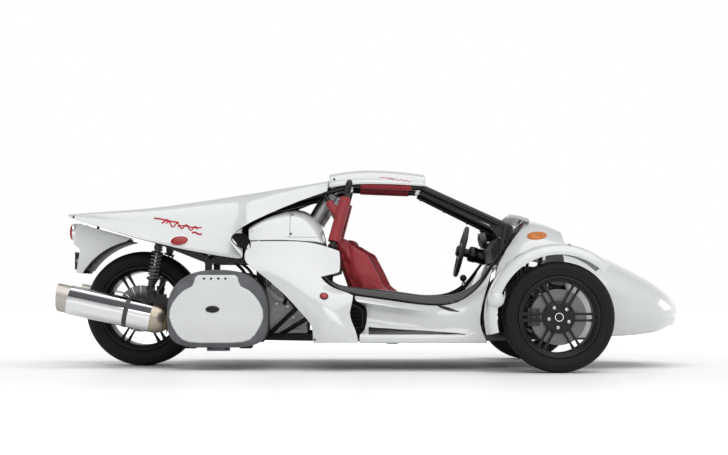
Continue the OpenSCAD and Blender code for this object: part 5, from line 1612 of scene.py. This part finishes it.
def build_stage(sizes):
    """Floor, room light, soft lights and camera."""
    floor = primitive("studio_floor", "plane", size=sizes.floor_side, location=(0, 0, 0))
    edit(floor, "FACE", everything=True)
    bpy.ops.mesh.subdivide(number_cuts=4)
    clear()
    f = Finish("floor_paint_and_glow", (0.86, 0.865, 0.87), 0.5, emission_strength=1.0)
    f.put("Roughness", 0.42 + f.noise(3, 3) * 0.08)
    x, y = f.axes()[:2]
    # Painted light: the floor shines more with distance from the middle, where the car stands, so that the distant
    # floor is as white as the backdrop.
    far_glow = ((x * x * 0.35 + y * y) ** 0.5).above(1.6, 6.0)
    f.put("Emission Color", f.blend(far_glow, (0.0, 0.0, 0.0, 1), (0.5, 0.5, 0.5, 1)))
    floor.data.materials.append(f.material)
    world = bpy.data.worlds.new("studio")
    world.use_nodes = True
    nodes, links = world.node_tree.nodes, world.node_tree.links
    split, ramp = nodes.new("ShaderNodeSeparateXYZ"), nodes.new("ShaderNodeValToRGB")
    links.new(nodes.new("ShaderNodeTexCoord").outputs["Generated"], split.inputs[0])
    links.new(split.outputs["Z"], ramp.inputs["Fac"])
    for stop, at, tone in zip(ramp.color_ramp.elements, (0.16, 0.5), ((1.0, 1.0, 1.0, 1), (0.42, 0.425, 0.43, 1))):
        stop.position, stop.color = at, tone
    links.new(ramp.outputs["Color"], nodes["Background"].inputs["Color"])
    nodes["Background"].inputs["Strength"].default_value = 1.0
    bpy.context.scene.world = world
    bpy.context.scene.view_settings.view_transform = "Standard"
    bpy.ops.object.light_add(type="SUN", location=(1, -1, 6), rotation=(math.radians(14), math.radians(6), 0))
    sky = bpy.context.object
    sky.name, sky.data.energy, sky.data.angle = "overhead_light", 1.9, math.radians(75)
    for name, place, size, power in (
            ("side_softbox", (1.2, -6.5, 3.4), (5.0, 1.4), 70),
            ("tail_softbox", (-6.0, 2.5, 2.6), (2.4, 2.4), 60),
            ("nose_softbox", (6.2, 2.0, 2.4), (2.4, 2.0), 45)):
        bpy.ops.object.light_add(type="AREA", location=place)
        lamp = bpy.context.object
        lamp.name = name
        lamp.data.shape = "RECTANGLE"
        lamp.data.size, lamp.data.size_y = size
        lamp.data.energy = power
        lamp.rotation_euler = (Vector((0, 0, 0.5)) - Vector(place)).to_track_quat("-Z", "Y").to_euler()
    bpy.ops.object.camera_add(location=(-0.055, -9.68, 0.438), rotation=(math.radians(92.11), 0, 0))
    camera = bpy.context.object
    camera.name = "side_camera"
    camera.data.sensor_width = 36
    camera.data.lens = LENS_MM
    bpy.context.scene.camera = camera


class CAR_OT_materials(bpy.types.Operator):
    """Make every finish of the car."""

    bl_idname = "car.materials"
    bl_label = "Finishes"

    def execute(self, context):
        make_materials(context.scene.car_colours)
        return {"FINISHED"}


class CAR_OT_stage(bpy.types.Operator):
    """Lay the floor, hang the soft lights and set the camera."""

    bl_idname = "car.stage"
    bl_label = "Stage"

    def execute(self, context):
        build_stage(context.scene.car_sizes)
        return {"FINISHED"}


class CAR_OT_panels(bpy.types.Operator):
    """Body panels with rolled edges and gloss paint."""

    bl_idname = "car.panels"
    bl_label = "Body panels"

    def execute(self, context):
        build_panels()
        return {"FINISHED"}


class CAR_OT_worked(bpy.types.Operator):
    """Frame, cabin parts and castings with rounded edges."""

    bl_idname = "car.worked"
    bl_label = "Frame and castings"

    def execute(self, context):
        build_worked()
        return {"FINISHED"}


class CAR_OT_wheels(bpy.types.Operator):
    """Tyres, rims, nuts, caps, discs and calipers."""

    bl_idname = "car.wheels"
    bl_label = "Wheels"

    def execute(self, context):
        build_wheels(context.scene.car_sizes)
        return {"FINISHED"}


class CAR_OT_seats(bpy.types.Operator):
    """Both leather seats and their runners."""

    bl_idname = "car.seats"
    bl_label = "Seats"

    def execute(self, context):
        build_seats(context.scene.car_sizes)
        return {"FINISHED"}


class CAR_OT_padding(bpy.types.Operator):
    """Foam sleeves on the cage."""

    bl_idname = "car.padding"
    bl_label = "Cage padding"

    def execute(self, context):
        build_padding(context.scene.car_sizes)
        return {"FINISHED"}


class CAR_OT_suspension(bpy.types.Operator):
    """Suspension arms, dampers and coil springs."""

    bl_idname = "car.suspension"
    bl_label = "Suspension"

    def execute(self, context):
        build_suspension(context.scene.car_sizes)
        return {"FINISHED"}


class CAR_OT_controls(bpy.types.Operator):
    """Steering wheel, stalks, dials and lever."""

    bl_idname = "car.controls"
    bl_label = "Controls"

    def execute(self, context):
        build_controls()
        return {"FINISHED"}


class CAR_OT_lamps(bpy.types.Operator):
    """Headlamps, tail lamps, side lamps and reflectors."""

    bl_idname = "car.lamps"
    bl_label = "Lamps"

    def execute(self, context):
        build_lamps()
        return {"FINISHED"}


class CAR_OT_trim(bpy.types.Operator):
    """Seams, bolts, strokes, dark patches, inlets, caps and slats, with painted shade in the tail inlet, behind the
    side intake and in a vent slot.
    """

    bl_idname = "car.trim"
    bl_label = "Body trim"

    def execute(self, context):
        build_body_details(context.scene.car_sizes)
        return {"FINISHED"}


class CAR_OT_intakes(bpy.types.Operator):
    """Mesh intake cylinders."""

    bl_idname = "car.intakes"
    bl_label = "Intakes"

    def execute(self, context):
        build_intakes()
        return {"FINISHED"}


class CAR_OT_panniers(bpy.types.Operator):
    """Pannier lids with their plates, badges and feet."""

    bl_idname = "car.panniers"
    bl_label = "Panniers"

    def execute(self, context):
        build_panniers()
        return {"FINISHED"}


class CAR_OT_engine(bpy.types.Operator):
    """Covers, fins, bolts, pipes and struts of the engine."""

    bl_idname = "car.engine"
    bl_label = "Engine"

    def execute(self, context):
        build_engine()
        return {"FINISHED"}


class CAR_OT_exhaust(bpy.types.Operator):
    """Silencers with rolled ends and straps."""

    bl_idname = "car.exhaust"
    bl_label = "Exhaust"

    def execute(self, context):
        build_exhaust()
        return {"FINISHED"}


class CAR_OT_cage(bpy.types.Operator):
    """Pillar tubes, the hoop's upper bends and its clamps."""

    bl_idname = "car.cage"
    bl_label = "Cage details"

    def execute(self, context):
        build_cage_details()
        return {"FINISHED"}


STEPS = (CAR_OT_materials, CAR_OT_stage, CAR_OT_panels, CAR_OT_worked, CAR_OT_wheels, CAR_OT_seats, CAR_OT_padding,
         CAR_OT_suspension, CAR_OT_controls, CAR_OT_lamps, CAR_OT_trim, CAR_OT_intakes, CAR_OT_panniers,
         CAR_OT_engine, CAR_OT_exhaust, CAR_OT_cage)


class CAR_PT_panel(bpy.types.Panel):
    """Sizes, colours and steps of the car."""

    bl_idname = "CAR_PT_panel"
    bl_label = "Three-wheeled car"
    bl_space_type = "VIEW_3D"
    bl_region_type = "UI"
    bl_category = "Car"

    def draw(self, context):
        for group in (context.scene.car_colours, context.scene.car_sizes):
            box = self.layout.box()
            for name in group.__annotations__:
                box.prop(group, name)
        for step in STEPS:
            self.layout.operator(step.bl_idname)


CLASSES = (CarColours, CarSizes, *STEPS, CAR_PT_panel)


def register():
    for c in CLASSES:
        bpy.utils.register_class(c)
    bpy.types.Scene.car_colours = PointerProperty(type=CarColours)
    bpy.types.Scene.car_sizes = PointerProperty(type=CarSizes)


def unregister():
    del bpy.types.Scene.car_sizes
    del bpy.types.Scene.car_colours
    for c in reversed(CLASSES):
        bpy.utils.unregister_class(c)


def main():
    register()
    for step in STEPS:
        area, name = step.bl_idname.split(".")
        getattr(getattr(bpy.ops, area), name)()
    clear()


if __name__ == "__main__":
    main()
